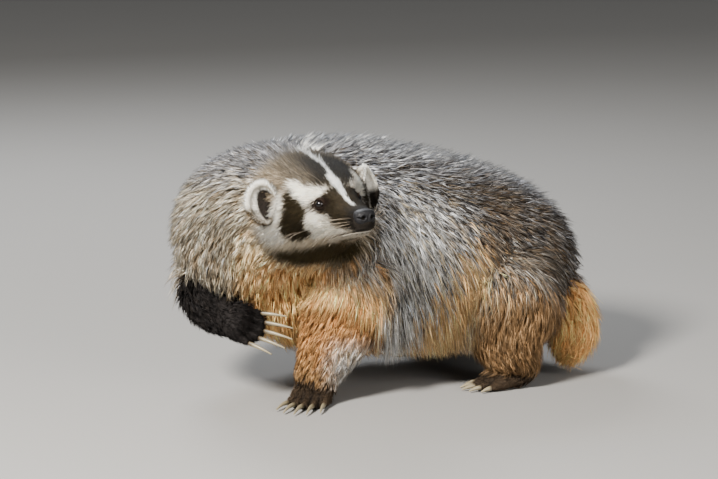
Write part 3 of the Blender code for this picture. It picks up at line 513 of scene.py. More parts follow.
class BodyForm:
    """The body's tubes, and the lie, length and depth of the coat at any place on them."""

    def __init__(self) -> None:
        """Builds the tubes from the section tables."""
        head = [Section((-back, 0, (top + low) / 2), wide, (top - low) / 2, depth)
                for back, wide, top, low, depth in HEAD_SECTIONS]
        level = (0.5, 0.2, 0.0)
        self.tubes = {
            Region.TRUNK: Tube(SPINE, sag=SPINE_SAG),
            Region.HEAD: Tube(tuple(head[::-1]), squareness=2.25, matrix=head_matrix()),
            Region.FORELEG_LEFT: limb(FORELEG_LEFT, LIMB_DEPTHS, level),
            Region.FORELEG_RIGHT: limb(FORELEG_RIGHT, LIMB_DEPTHS, (0, 0, 1)),
            Region.HINDLEG_LEFT: limb(HINDLEG_LEFT, LIMB_DEPTHS, level),
            Region.HINDLEG_RIGHT: limb(HINDLEG_RIGHT, LIMB_DEPTHS, level),
            Region.TAIL: limb(TAIL, TAIL_DEPTHS, (1.0, 0.3, 0.0)),
        }
        for region, foot in zip(FOOT_REGIONS, FEET):
            self.tubes[region] = foot_tube(foot)

    def fields(self, points: np.ndarray) -> Fields:
        """The fields of the form at places on it."""
        count = len(points)
        share, t, angle, depth = (np.zeros((count, len(Region))) for _ in range(4))
        along = np.zeros((count, len(Region), 3))
        for region, tube in self.tubes.items():
            t[:, region], angle[:, region], along[:, region], depth[:, region], share[:, region] = tube.places(points)
        weights = self.weights(share, t)
        head = moved(head_matrix().inverted(), points) * 1000.0
        turn = np.abs(angle[:, Region.TRUNK])
        lie = unit((weights[:, :, None] * self.ways(along, t[:, Region.TRUNK], turn, head)).sum(axis=1))
        length = self.lengths(t, turn, head)
        self.fit(length, depth, t[:, Region.TRUNK], turn, head)
        return Fields(points, weights, t, angle, lie, (weights * length).sum(axis=1), (weights * depth).sum(axis=1))

    @staticmethod
    def weights(share: np.ndarray, t: np.ndarray) -> np.ndarray:
        """How much each region counts at places, by how near its tube's middle they are and how far along it."""
        weights = np.exp(-12.0 * (share - share.min(axis=1, keepdims=True)))
        for region in LEGS:
            starts, full = (1.0, 1.7) if region == Region.FORELEG_RIGHT else (0.7, 1.5)
            weights[:, region] *= smooth_step(starts, full, t[:, region])
        weights[:, Region.TAIL] *= smooth_step(0.5, 1.2, t[:, Region.TAIL])
        return weights / weights.sum(axis=1, keepdims=True)

    def ways(self, along: np.ndarray, t: np.ndarray, turn: np.ndarray, head: np.ndarray) -> np.ndarray:
        """The way that each region's coat lies at places.

        Args:
            along: the way along each region's tube.
            t: how far along the trunk the places are.
            turn: how far round the trunk they are from its top.
            head: the places in the head's frame, in mm.

        Returns:
            The ways, with a row for each place and a column for each region.
        """
        ways = along.copy()
        fall = 1.9 * np.abs(np.sin(turn)) + smooth_step(1.2, 2.2, turn)
        fall *= 1 - 0.75 * smooth_step(6.0, 8.0, t)
        ways[:, Region.TRUNK] = unit(-along[:, Region.TRUNK] + fall[:, None] * np.array((0.0, 0.0, -1.0)))
        ways[:, Region.HEAD] = self.head_lie(head)
        return ways

    @staticmethod
    def lengths(t: np.ndarray, turn: np.ndarray, head: np.ndarray) -> np.ndarray:
        """The length of each region's coat at places, from the same values as the ways."""
        back, trunk = -head[:, 0], t[:, Region.TRUNK]
        length = np.zeros(t.shape)
        near_head = smooth_step(3.9, 5.5, trunk)
        long = 0.031 + 0.030 * smooth_step(0.9, 1.7, turn) - 0.014 * smooth_step(2.2, 2.8, turn)
        long *= 1 - 0.30 * smooth_step(3.3, 2.5, trunk)
        length[:, Region.TRUNK] = long * (1 - near_head) + 0.021 * near_head
        length[:, Region.HEAD] = np.interp(back, *HEAD_LENGTHS)
        length[:, Region.HEAD] += 0.006 * smooth_step(-18, -32, head[:, 2]) * smooth_step(25, 70, back)
        for region in LEGS:
            length[:, region] = np.interp(t[:, region], *(HINDLEG_LENGTHS if region in HINDLEGS else FORELEG_LENGTHS))
        length[:, FOOT_REGIONS] = FOOT_LENGTH
        length[:, Region.TAIL] = TAIL_LENGTH
        return length

    @staticmethod
    def fit(length: np.ndarray, depth: np.ndarray, t: np.ndarray, turn: np.ndarray, head: np.ndarray) -> None:
        """Fits the coat's length and depth to the crown, nape, neck's bend, cheek and tail."""
        back = -head[:, 0]
        depth[:, Region.HEAD] += 0.0055 * smooth_step(88, 125, back) * smooth_step(15, 40, head[:, 2])
        depth[:, Region.TRUNK] += 0.0050 * smooth_step(6.6, 7.6, t) * smooth_step(1.8, 1.2, turn)
        bend = bell(t, 5.4, 0.9) * smooth_step(1.1, 0.6, turn)
        depth[:, Region.TRUNK] *= 1 - 0.32 * bend
        length[:, Region.TRUNK] *= 1 - 0.35 * bend
        before_ear = bell(back, 84, 11) * bell(np.abs(head[:, 1]), 54, 14) * bell(head[:, 2], 2, 26)
        depth[:, Region.HEAD] += 0.0018 * before_ear
        length[:, Region.HEAD] += 0.001 * before_ear
        depth[:, Region.TAIL] += 0.004

    @staticmethod
    def head_lie(head: np.ndarray) -> np.ndarray:
        """The way the coat lies at places on the head, given in millimetres in its frame."""
        side, height = head[:, 1], head[:, 2]
        sign = np.sign(side)
        away = np.abs(side) / 50.0
        ways = np.stack([-np.ones(len(head)), 0.30 * sign * np.clip(away, 0, 1), -0.45 * np.clip(away, 0, 1)], axis=1)
        ways[:, 2] += 0.35 * smooth_step(10, 40, height) * (1 - np.clip(away, 0, 1))
        return unit(ways) @ np.array(head_matrix())[:3, :3].T


def polygon_depth(outline: tuple, x: np.ndarray, y: np.ndarray) -> np.ndarray:
    """How deep places lie inside an outline, less than 0 outside it."""
    corners = np.array(outline, float)
    nearest = np.full(len(x), 1e9)
    inside = np.zeros(len(x), bool)
    for a, b in zip(corners, np.roll(corners, -1, axis=0)):
        edge = b - a
        share = np.clip(((x - a[0]) * edge[0] + (y - a[1]) * edge[1]) / (edge @ edge), 0, 1)
        nearest = np.minimum(nearest, np.hypot(x - a[0] - share * edge[0], y - a[1] - share * edge[1]))
        crosses = (a[1] > y) != (b[1] > y)
        rise = b[1] - a[1] if b[1] != a[1] else 1e-9
        inside ^= crosses & (x < a[0] + (y - a[1]) / rise * edge[0])
    return np.where(inside, nearest, -nearest)


@dataclass(frozen=True)
class Hair:
    """How the hair of one marking looks: its tips, its under part, and how strong the dark band between is."""

    tip: tuple
    under: tuple
    band: float
    varies: float = 0.10

    def arrays(self) -> tuple:
        """The tip and under colours in linear light, and the band and variation."""
        return shade(*self.tip), shade(*self.under), self.band, self.varies


@dataclass(frozen=True)
class Patch:
    """A marking on both sides of the head, or painted shade there: its outline from the side, as back and height in mm,
    and its edge.
    """

    outline: tuple
    hair: Hair
    edge: float


CROWN = Hair((108, 98, 83), (52, 44, 34), 0.10, 0.46)
CROWN_DARK = Hair((31, 27, 20), (20, 17, 13), 0.0, 0.36)
TEMPLE = Hair((164, 148, 125), (102, 86, 65), 0.1, 0.34)
MUZZLE = Hair((48, 41, 29), (32, 27, 20), 0.0, 0.26)
WHITE = Hair((255, 247, 232), (240, 224, 200), 0.0, 0.04)
CHEEK = Hair((255, 246, 232), (226, 208, 184), 0.0, 0.08)
BADGE = Hair((46, 39, 25), (34, 28, 19), 0.0, 0.18)
EYE_DARK = Hair((34, 25, 19), (24, 19, 15), 0.0, 0.08)
STRIPE = Hair((255, 253, 246), (238, 230, 214), 0.0, 0.04)
# Olive jaw hair, laid darker than its own colour as painted shade under the jaw.
JAW_HAIR_AND_SHADE = Hair((66, 57, 35), (46, 39, 25), 0.0, 0.30)
JAW_PALE = Hair((222, 208, 184), (170, 152, 124), 0.0, 0.12)
NOSE_FUR = Hair((30, 26, 22), (22, 19, 16), 0.0, 0.24)
LIP = Hair((206, 198, 184), (150, 136, 118), 0.0, 0.12)
MOUTH_DARK = Hair((34, 27, 22), (26, 21, 18), 0.0, 0.05)
# Dark hair of the ear's back, also laid as painted shade behind and below the ear.
EAR_REAR_AND_SHADE = Hair((84, 69, 47), (52, 43, 31), 0.0, 0.18)
NECK_TOP = Hair((150, 149, 150), (72, 64, 53), 0.60, 0.52)
NECK_SIDE = Hair((212, 200, 178), (130, 112, 88), 0.40, 0.48)
BACK = Hair((222, 223, 228), (92, 80, 63), 1.0, 0.44)
FLANK = Hair((236, 232, 222), (98, 80, 58), 0.95, 0.46)
TAWNY_FLANK = Hair((176, 154, 124), (88, 68, 48), 0.72, 0.44)
FRINGE = Hair((255, 255, 252), (196, 182, 156), 0.66, 0.44)
# Near-black painted shade in the grooves between the toes.
TOE_GAP_SHADE = Hair((18, 15, 13), (12, 10, 9), 0.0, 0.10)
FOLD_HAIR = Hair((188, 178, 162), (104, 88, 70), 0.40, 0.40)
# White-tipped hair along the ridge, whiter and bluer as a painted rim light along the top of the back.
RIDGE_HAIR_AND_RIM_LIGHT = Hair((252, 254, 255), (150, 156, 170), 0.45, 0.30)
BELLY = Hair((234, 196, 144), (190, 146, 96), 0.05, 0.30)
CHEST = Hair((255, 204, 138), (238, 178, 112), 0.0, 0.26)
THROAT_HAIR = Hair((218, 198, 160), (160, 134, 96), 0.05, 0.28)
FORELEG = Hair((192, 142, 90), (162, 110, 62), 0.0, 0.28)
SHIN = Hair((160, 128, 88), (110, 84, 56), 0.05, 0.28)
FOOT_DARK = Hair((58, 47, 36), (38, 30, 24), 0.0, 0.26)
BLACK = Hair((31, 28, 27), (18, 16, 15), 0.0, 0.26)
THIGH = Hair((164, 132, 96), (126, 96, 64), 0.12, 0.40)
TAIL_HAIR = Hair((255, 200, 134), (224, 160, 96), 0.05, 0.28)
EAR_WHITE = Hair((255, 252, 242), (232, 224, 206), 0.0, 0.04)
# Near-black painted shade, deep in the ear's cup and over the left ear's lower half.
EAR_INSIDE_SHADE = Hair((26, 21, 16), (20, 16, 12), 0.0, 0.2)
EAR_FRONT = Hair((226, 206, 182), (186, 162, 134), 0.0, 0.10)

HEAD_PATCHES = (
    Patch(((-8, 18), (-8, -14), (4, -16), (16, -15), (25, -11), (32, -2), (41, 5), (50, 8), (57, 14), (55, 24),
           (58, 36), (44, 36), (20, 22)), MUZZLE, 2.5),
    Patch(((83, 41), (76, 39), (64, 33), (55, 30), (48, 26), (50, 22), (56, 21), (57, 14), (54, 6), (47, 4), (37, 2),
           (33, -3), (34, -8), (25, -12), (15, -15), (20, -18), (46, -20), (66, -20), (70, 0), (68, 20), (80, 33)),
          WHITE, 1.4),
    Patch(((79, 27), (79, 16), (82, 3), (84, -9), (84, -17), (97, -20), (106, -21), (115, -18), (121, -10),
           (118, 2), (104, 6), (96, 12), (90, 22), (86, 32)), CHEEK, 2.5),
    Patch(((80, 36), (75, 32), (66, 22), (61, 15), (61, 4), (64, -5), (61, -11), (60, -15), (66, -18), (77, -19),
           (86, -15), (88, -8), (84, 3), (79, 16), (79, 27)), BADGE, 1.2),
    # Painted shade on the head behind each ear.
    Patch(((119, 26), (131, 20), (138, 0), (132, -14), (121, -12), (119, 4)), EAR_REAR_AND_SHADE, 4.0),
)
EYE_PATCH = (50.2, 13.8, 10.4, 8.0)
# The stripe's path in plan on the head, as back and side in mm, with its half width.
STRIPE_PATH = (
    (19, 0, 0.6), (24, 0, 2.8), (31, -1.8, 2.2), (42, -0.6, 3.8), (51, -0.4, 5.6), (59, 0, 5.0), (66, 2.4, 2.2),
    (72, 4.0, 1.9), (80, 6.0, 2.3), (94, 8.5, 3.0), (112, 8.0, 2.9), (129, 10.0, 2.7), (150, 23, 2.8), (172, 38, 3.0),
    (196, 52, 4.2), (217, 63, 5.4), (231, 60, 3.4), (244, 70, 3.6), (268, 84, 2.2),
)


@dataclass
class Paint:
    """The coat's colours at many places: tips, under parts, and the strength of the dark band."""

    tip: np.ndarray
    under: np.ndarray
    band: np.ndarray
    varies: np.ndarray

    @classmethod
    def of(cls, hair: Hair, count: int) -> "Paint":
        """The same hair at all of so many places."""
        tip, under, band, varies = hair.arrays()
        return cls(np.tile(tip, (count, 1)), np.tile(under, (count, 1)), np.full(count, band), np.full(count, varies))

    def lay(self, hair: Hair, share: np.ndarray) -> None:
        """Lays hair over what is there, by a share at each place."""
        tip, under, band, varies = hair.arrays()
        keep = (1 - share)[:, None]
        self.tip = self.tip * keep + tip * share[:, None]
        self.under = self.under * keep + under * share[:, None]
        self.band = self.band * keep[:, 0] + band * share
        self.varies = self.varies * keep[:, 0] + varies * share


@dataclass(frozen=True)
class Layer:
    """One marking of the trunk, or a band of painted rim light: its hair, its strength, and where it comes in and goes
    out.

    The pairs in low are degrees from the ridge and those in t are places along the trunk. It comes in from the first of
    a pair to the second, and goes out where the first is larger. The shape names a form that it is also cut to.
    """

    hair: Hair
    share: float = 1.0
    low: tuple = ()
    t: tuple = ()
    shape: str = ""


TRUNK_LAYERS = (
    Layer(FLANK, 0.8, t=((0.2, 1.5),), shape="flank"),
    Layer(TAWNY_FLANK, shape="brown"),
    Layer(BELLY, low=((116, 134),)),
    Layer(FRINGE, 0.95, low=((32, 68), (140, 124)), shape="curtain"),
    Layer(BELLY, t=((1.9, 2.3), (3.7, 3.3)), shape="fold"),
    Layer(THIGH, low=((82, 100),), t=((2.6, 2.2), (1.0, 1.5))),
    Layer(THIGH, low=((72, 90),), t=((1.3, 0.9),)),
    Layer(FOLD_HAIR, 0.75, t=((1.55, 1.8), (3.1, 2.8)), shape="band"),
    # Painted rim light along the ridge of the back.
    Layer(RIDGE_HAIR_AND_RIM_LIGHT, 0.75, low=((32, 10),), t=((1.2, 1.8), (6.0, 5.0))),
    Layer(NECK_SIDE, low=((30, 62),), t=((4.4, 5.6),)),
    Layer(NECK_TOP, low=((66, 30),), t=((4.4, 5.6),)),
    Layer(THROAT_HAIR, low=((92, 112),), t=((5.0, 6.0),), shape="front"),
    Layer(CHEST, shape="breast"),
)
# How far a millimetre of raggedness moves a marking's edge along the trunk, and round it in degrees.
RAGGED_ALONG, RAGGED_ROUND = 0.11, 6.0
PLANTED = ((Region.FORELEG_LEFT, Region.FORE_LEFT), (Region.HINDLEG_LEFT, Region.HIND_LEFT),
           (Region.HINDLEG_RIGHT, Region.HIND_RIGHT))


class Markings:
    """The animal's markings, with painted shade and painted rim light among them, which the skin and the coat both
    carry.
    """

    def __init__(self) -> None:
        """Keeps the head's frame."""
        self.to_head = head_matrix().inverted()

    def paint(self, fields: Fields, points: np.ndarray, ragged: np.ndarray | None = None) -> Paint:
        """The colours at places on the body.

        Args:
            fields: the form's fields at the places.
            points: the places.
            ragged: small offsets in mm that make the markings' edges ragged, one row for each place.

        Returns:
            The colours of the coat there.
        """
        paint = Paint.of(BACK, len(points))
        t, angle = fields.t[:, Region.TRUNK], fields.angle[:, Region.TRUNK]
        head = moved(self.to_head, points) * 1000.0
        turn = np.degrees(angle)
        if ragged is not None:
            t, turn, head = t + RAGGED_ALONG * ragged[:, 0], turn + RAGGED_ROUND * ragged[:, 1], head + ragged
        low = np.abs(turn)
        shapes = self.trunk_shapes(points, t, low, angle > 0)
        for layer in TRUNK_LAYERS:
            share = layer.share * shapes[layer.shape]
            for value, steps in ((low, layer.low), (t, layer.t)):
                for start, full in steps:
                    share = share * smooth_step(start, full, value)
            paint.lay(layer.hair, share)
        self.limbs(paint, fields, points)
        self.head(paint, fields.weights[:, Region.HEAD], head)
        return paint

    @staticmethod
    def trunk_shapes(points: np.ndarray, t: np.ndarray, low: np.ndarray, left: np.ndarray) -> dict:
        """The forms that some of the trunk's markings are cut to.

        Args:
            points: places on the body.
            t: how far along the trunk they are.
            low: their degrees from the ridge.
            left: which of them are on the left side.

        Returns:
            By its name, each form's share at the places.
        """
        x, y, z = points.T
        patchy = np.sin(x * 61 + z * 37) * np.sin(z * 83 - y * 41)
        above_fold = low - 70 * np.maximum(t - 2.9, 0) - 26 * smooth_step(2.9, 2.4, t)
        breast = smooth_step(0.022, -0.002, x + 0.016 - 0.30 * (z - 0.04)) * smooth_step(0.190, 0.132, z)
        breast = breast * smooth_step(-0.150, -0.105, x) * smooth_step(3.7, 4.3, t) * smooth_step(48, 62, low)
        return {
            "": 1.0,
            "flank": smooth_step(40, 80, low + 8 * patchy),
            "brown": np.clip(bell(t, 2.3, 1.0) * bell(low, 56, 26) * (0.8 + 0.5 * patchy), 0, 0.85),
            "curtain": bell(t, 3.75, 0.62),
            "fold": smooth_step(56, 72, above_fold),
            "band": bell(low - 60 - 57 * (t - 1.8), 0, 8),
            "front": smooth_step(-0.150, -0.118, x),
            "breast": breast * np.where(left, 1.0, smooth_step(92, 112, low)),
        }

    @staticmethod
    def limbs(paint: Paint, fields: Fields, points: np.ndarray) -> None:
        """Lays the colours of the legs, feet and tail, with painted shade between the toes."""
        weights, t = fields.weights, fields.t
        sharp = smooth_step(0.25, 0.75, weights)
        paint.lay(TAIL_HAIR, sharp[:, Region.TAIL])
        for leg in HINDLEGS:
            paint.lay(THIGH, sharp[:, leg])
            paint.lay(SHIN, sharp[:, leg] * smooth_step(2.5, 3.4, t[:, leg]))
        leg = Region.FORELEG_LEFT
        outer = smooth_step(-0.045, -0.010, points[:, 0]) * smooth_step(0.095, 0.055, points[:, 2])
        paint.lay(FORELEG, smooth_step(0.1, 0.5, weights[:, leg]))
        paint.lay(SHIN, sharp[:, leg] * smooth_step(1.7, 3.2, t[:, leg]) * 0.8)
        paint.lay(FRINGE, sharp[:, leg] * outer * 0.8)
        for leg, foot in PLANTED:
            low_leg = weights[:, leg] * smooth_step(2.6, 4.0, t[:, leg])
            paint.lay(FOOT_DARK, smooth_step(0.15, 0.75, low_leg + weights[:, foot]))
        planted = weights[:, np.ravel(PLANTED)].sum(axis=1)
        paint.lay(FOOT_DARK, smooth_step(0.030, 0.018, points[:, 2]) * smooth_step(0.2, 0.5, planted))
        raised = weights[:, Region.FORELEG_RIGHT] + weights[:, Region.FORE_RIGHT]
        paint.lay(BLACK, smooth_step(0.2, 0.6, raised))
        # Painted shade in the grooves between the toes.
        for region, foot in zip(FOOT_REGIONS, FEET):
            near, _ = toe_gaps(foot, points, 0.0022)
            paint.lay(TOE_GAP_SHADE, 0.9 * near * smooth_step(0.3, 0.7, weights[:, region]))

    @staticmethod
    def head(paint: Paint, weight: np.ndarray, head: np.ndarray) -> None:
        """Lays the head's markings and its painted shade under the jaw and behind the ears, with places given in
        millimetres in its frame.
        """
        back, side, height = -head[:, 0], head[:, 1], head[:, 2]
        on_head = smooth_step(0.3, 0.8, weight) * smooth_step(180, 150, back)
        paint.lay(CROWN, on_head)
        paint.lay(TEMPLE, on_head * smooth_step(26, 52, np.abs(side)) * smooth_step(60, 90, back))
        path = np.array(STRIPE_PATH)
        centre = np.interp(back, path[:, 0], path[:, 1])
        wide = np.where(side > centre, 12, 0)
        dark = smooth_step(34, 13, np.abs(side - centre) - wide) * smooth_step(8, 20, height)
        paint.lay(CROWN_DARK, on_head * dark * smooth_step(135, 92, back) * 0.95)
        paint.lay(JAW_PALE, on_head * smooth_step(-15, -19, height))
        for patch in HEAD_PATCHES:
            share = smooth_step(-patch.edge, patch.edge, polygon_depth(patch.outline, back, height))
            paint.lay(patch.hair, on_head * share)
        paint.lay(NOSE_FUR, on_head * smooth_step(19, 9, back + 0.35 * np.maximum(-height - 8, 0)))
        line = above_mouth(head / 1000.0) * 1000.0
        mouth = smooth_step(58, 50, back)
        # Painted shade: the jaw below the mouth line and the underside of the head take the dark olive hair.
        olive_and_shade = np.maximum(smooth_step(-4.2, -7.5, line) * smooth_step(75, 50, back), smooth_step(-23, -30, height))
        paint.lay(JAW_HAIR_AND_SHADE, on_head * olive_and_shade)
        paint.lay(LIP, on_head * mouth * bell(line, -2.9, 2.3) * 0.9)
        paint.lay(LIP, on_head * bell(line, 2.2, 1.6) * smooth_step(8, 14, back) * smooth_step(40, 26, back) * 0.8)
        paint.lay(MOUTH_DARK, on_head * mouth * bell(line, 0.0, 0.95))
        around = np.hypot((back - EYE_PATCH[0]) / EYE_PATCH[2], (height - EYE_PATCH[1]) / EYE_PATCH[3])
        paint.lay(EYE_DARK, on_head * smooth_step(1.12, 0.82, around))
        nearest = np.full(len(back), 1e9)
        for (b0, s0, w0), (b1, s1, w1) in zip(STRIPE_PATH, STRIPE_PATH[1:]):
            ahead, aside = b1 - b0, s1 - s0
            share = np.clip(((back - b0) * ahead + (side - s0) * aside) / (ahead**2 + aside**2), 0, 1)
            far = np.hypot(back - b0 - share * ahead, side - s0 - share * aside)
            nearest = np.minimum(nearest, far - (w0 + (w1 - w0) * share))
        paint.lay(STRIPE, smooth_step(0.2, -1.1, nearest) * smooth_step(0, 5, height))

    @staticmethod
    def ear(sign: int, place: np.ndarray, inner: np.ndarray) -> Paint:
        """The colours of an ear, with painted shade in its cup and round its back, from its fitted places in its own
        frame and how far inside the cup they are.
        """
        front, up = -sign * place[:, 1], place[:, 2]
        paint = Paint.of(EAR_WHITE, len(place))
        # The ear's back: dark hair, deepened as painted shade.
        paint.lay(EAR_REAR_AND_SHADE, smooth_step(0.15, -0.45, place[:, 0]) * (1 - inner))
        paint.lay(CROWN, smooth_step(0.0, 0.45, front) * (1 - inner) * smooth_step(0.93, 0.75, up) * 0.85)
        # Painted shade where the ear's lower rear meets the head.
        paint.lay(EAR_REAR_AND_SHADE, smooth_step(0.0, -0.4, up) * smooth_step(0.35, -0.05, front) * (1 - 0.3 * inner))
        paint.lay(EAR_FRONT, inner * smooth_step(0.75, 0.95, front))
        # Painted shade over the left ear's lower half.
        if sign > 0:
            paint.lay(EAR_INSIDE_SHADE, smooth_step(0.05, -0.35, up))
        # Painted shade in the deep slot of the cup.
        slot = np.hypot((front - 0.20 + 0.30 * up) / 0.68, (up + 0.12) / 0.84)
        paint.lay(EAR_INSIDE_SHADE, smooth_step(0.3, 0.7, inner) * smooth_step(1.12, 0.86, slot))
        return paint


def speckle(points: np.ndarray, chance: np.random.Generator, size: float = 0.0042, waves: int = 7) -> np.ndarray:
    """Smooth chance noise over places in space, of about the strength of a normal draw."""
    total = np.zeros(len(points))
    for _ in range(waves):
        way = chance.normal(0, 1, 3)
        way *= 2 * math.pi / (size * (0.7 + 0.6 * chance.random())) / np.linalg.norm(way)
        total += np.sin(points @ way + chance.random() * 2 * math.pi)
    return total * math.sqrt(2.0 / waves)


def coloured(paint: Paint, chance: np.random.Generator, grain: np.ndarray) -> tuple:
    """The paint with each tuft a little different, as tips, under parts and bands.

    Args:
        paint: the coat's colours at the tufts.
        chance: where the random draws come from.
        grain: a tone that neighbouring tufts share.

    Returns:
        The tips' and under parts' colours, and the band's strength.
    """
    count = len(paint.band)
    tone = np.exp(paint.varies * (0.85 * grain + 0.65 * chance.normal(0, 1, count)))
    warm = 1 + 0.05 * chance.normal(0, 1, (count, 1)) * np.array((1.0, 0.2, -1.0))
    tone = np.where(chance.random(count) < paint.varies * 0.7, tone * 0.55, tone)
    tip = np.clip(paint.tip * tone[:, None] * warm, 0.004, 0.96)
    under = np.clip(paint.under * np.exp(0.8 * paint.varies * grain)[:, None], 0.003, 0.9)
    band = np.clip(paint.band * (1 + 0.25 * chance.normal(0, 1, count)), 0, 1)
    return tip, under, band


def atlas(region: np.ndarray, t: np.ndarray, angle: np.ndarray) -> np.ndarray:
    """Places on the unwrap of the skin's own shape: each region has a cell, with t across and the angle up."""
    cells = {Region.TRUNK: (0.0, 0.0, 0.60, 0.60, 8), Region.HEAD: (0.0, 0.62, 0.48, 0.37, 10)}
    for k, leg in enumerate(LEGS + (Region.TAIL,)):
        cells[leg] = (0.62, 0.19 * k, 0.20, 0.18, 4)
    for k, foot in enumerate(FOOT_REGIONS):
        cells[foot] = (0.84, 0.19 * k, 0.14, 0.18, 2)
    table = np.array([cells[r] for r in Region])[region]
    across = table[:, 0] + table[:, 2] * (0.03 + 0.94 * np.clip(t / table[:, 4], 0, 1))
    up = table[:, 1] + table[:, 3] * (0.03 + 0.94 * (angle + math.pi) / (2 * math.pi))
    return np.stack([across, up], axis=1)


EAR_CELLS = {1: (0.50, 0.64), -1: (0.62, 0.97)}


def ear_atlas(sign: int, place: np.ndarray, inner: np.ndarray) -> np.ndarray:
    """Places on the unwrap of an ear, with its outside and its inside apart."""
    corner = EAR_CELLS[sign]
    across = corner[0] + 0.05 * (0.5 + 0.45 * place[:, 1]) + 0.055 * (inner > 0.5)
    return np.stack([across, corner[1] + 0.02 * (0.5 + 0.45 * place[:, 2]) * (1 if sign < 0 else 10)], axis=1)


def new_mesh(name: str, vertices: np.ndarray, triangles: np.ndarray) -> bpy.types.Mesh:
    """A mesh of triangles from arrays."""
    mesh = bpy.data.meshes.new(name)
    mesh.vertices.add(len(vertices))
    mesh.vertices.foreach_set("co", vertices.astype(np.float32).ravel())
    mesh.loops.add(len(triangles) * 3)
    mesh.loops.foreach_set("vertex_index", triangles.astype(np.int32).ravel())
    mesh.polygons.add(len(triangles))
    mesh.polygons.foreach_set("loop_start", np.arange(len(triangles), dtype=np.int32) * 3)
    mesh.polygons.foreach_set("loop_total", np.full(len(triangles), 3, np.int32))
    mesh.update(calc_edges=True)
    return mesh


def put_colour(mesh: bpy.types.Mesh, name: str, colour: np.ndarray) -> None:
    """Gives a mesh a colour at each vertex."""
    opaque = np.concatenate([colour, np.ones((len(colour), 1))], axis=1)
    layer = mesh.attributes.new(name, "FLOAT_COLOR", "POINT")
    layer.data.foreach_set("color", opaque.astype(np.float32).ravel())


def put_value(mesh: bpy.types.Mesh, name: str, value: np.ndarray) -> None:
    """Gives a mesh a number at each vertex."""
    mesh.attributes.new(name, "FLOAT", "POINT").data.foreach_set("value", value.astype(np.float32))


def put_map(mesh: bpy.types.Mesh, name: str, corners: np.ndarray) -> None:
    """Gives a mesh a UV map, from a place for each face corner."""
    mesh.uv_layers.new(name=name).data.foreach_set("uv", corners.astype(np.float32).ravel())


def put_object(name: str, data: bpy.types.ID) -> bpy.types.Object:
    """A new object in the scene."""
    obj = bpy.data.objects.new(name, data)
    bpy.context.scene.collection.objects.link(obj)
    return obj


def put_hair(mesh: bpy.types.Mesh, tip: np.ndarray, under: np.ndarray, band: np.ndarray, along: np.ndarray) -> None:
    """Gives a mesh what the hair's finishes read at each vertex."""
    put_colour(mesh, "tip_colour", tip)
    put_colour(mesh, "under_colour", under)
    put_value(mesh, "band", band)
    put_value(mesh, "along", along)


class Model:
    """Places finished pieces in the frame, and reports them."""

    def __init__(self) -> None:
        """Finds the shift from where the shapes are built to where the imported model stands."""
        shift = Vector()
        for name, sign in (("eye_left", 1), ("eye_right", -1)):
            low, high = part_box(name)
            shift += ((low + high) / 2 - eye_matrix(sign).translation) / 2
        shift.z = 0.0
        self.shift = shift
        log.info("shift %s", tuple(round(c, 5) for c in shift))

    def add(self, name: str, mesh: bpy.types.Mesh, material: bpy.types.Material, slot: str, nodes: tuple = ()) -> None:
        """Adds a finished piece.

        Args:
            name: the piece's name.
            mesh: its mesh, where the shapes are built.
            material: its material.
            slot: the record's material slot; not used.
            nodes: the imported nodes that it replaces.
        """
        mesh.transform(Matrix.Translation(self.shift))
        mesh.materials.clear()
        mesh.materials.append(material)
        mesh.name = name
        obj = put_object(name, mesh)
        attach(obj, BODY)
        if nodes:
            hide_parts(*nodes)
        mesh.calc_loop_triangles()
        log.info("%s: %d triangles, replaces %s", name, len(mesh.loop_triangles), ", ".join(nodes) or "nothing")


def evaluated(obj: bpy.types.Object) -> bpy.types.Mesh:
    """The mesh that an object's modifiers make."""
    graph = bpy.context.evaluated_depsgraph_get()
    return bpy.data.meshes.new_from_object(obj.evaluated_get(graph))


def arrays_of(mesh: bpy.types.Mesh) -> tuple:
    """A mesh's vertices, triangles, and vertex normals."""
    count = len(mesh.vertices)
    vertices, normals = np.zeros(count * 3, np.float32), np.zeros(count * 3, np.float32)
    mesh.vertices.foreach_get("co", vertices)
    mesh.vertices.foreach_get("normal", normals)
    mesh.calc_loop_triangles()
    triangles = np.zeros(len(mesh.loop_triangles) * 3, np.int32)
    mesh.loop_triangles.foreach_get("vertices", triangles)
    return vertices.reshape(-1, 3).astype(float), triangles.reshape(-1, 3), normals.reshape(-1, 3).astype(float)


def make_node(tree: bpy.types.NodeTree, kind: str, values: dict | None = None, **settings: object) -> bpy.types.Node:
    """Adds a node, with its settings and its inputs' values or links.

    Args:
        tree: the node tree.
        kind: the node's type.
        values: by an input's name or number, a value, or a socket to link from.
        settings: the node's own properties.

    Returns:
        The node.
    """
    node = tree.nodes.new(kind)
    for key, value in settings.items():
        setattr(node, key, value)
    for key, value in (values or {}).items():
        if isinstance(value, bpy.types.NodeSocket):
            tree.links.new(value, node.inputs[key])
        else:
            node.inputs[key].default_value = value
    return node


def attribute(tree: bpy.types.NodeTree, name: str, output: str = "Fac") -> bpy.types.NodeSocket:
    """A number or colour that the mesh carries."""
    return make_node(tree, "ShaderNodeAttribute", attribute_name=name).outputs[output]


def object_place(tree: bpy.types.NodeTree) -> bpy.types.NodeSocket:
    """The place in the object's own frame."""
    return tree.nodes.new("ShaderNodeTexCoord").outputs["Object"]


def noise(tree: bpy.types.NodeTree, place: bpy.types.NodeSocket, scale: float, detail: float) -> bpy.types.NodeSocket:
    """Soft noise at a place."""
    return make_node(tree, "ShaderNodeTexNoise", {"Vector": place, "Scale": scale, "Detail": detail}).outputs[0]


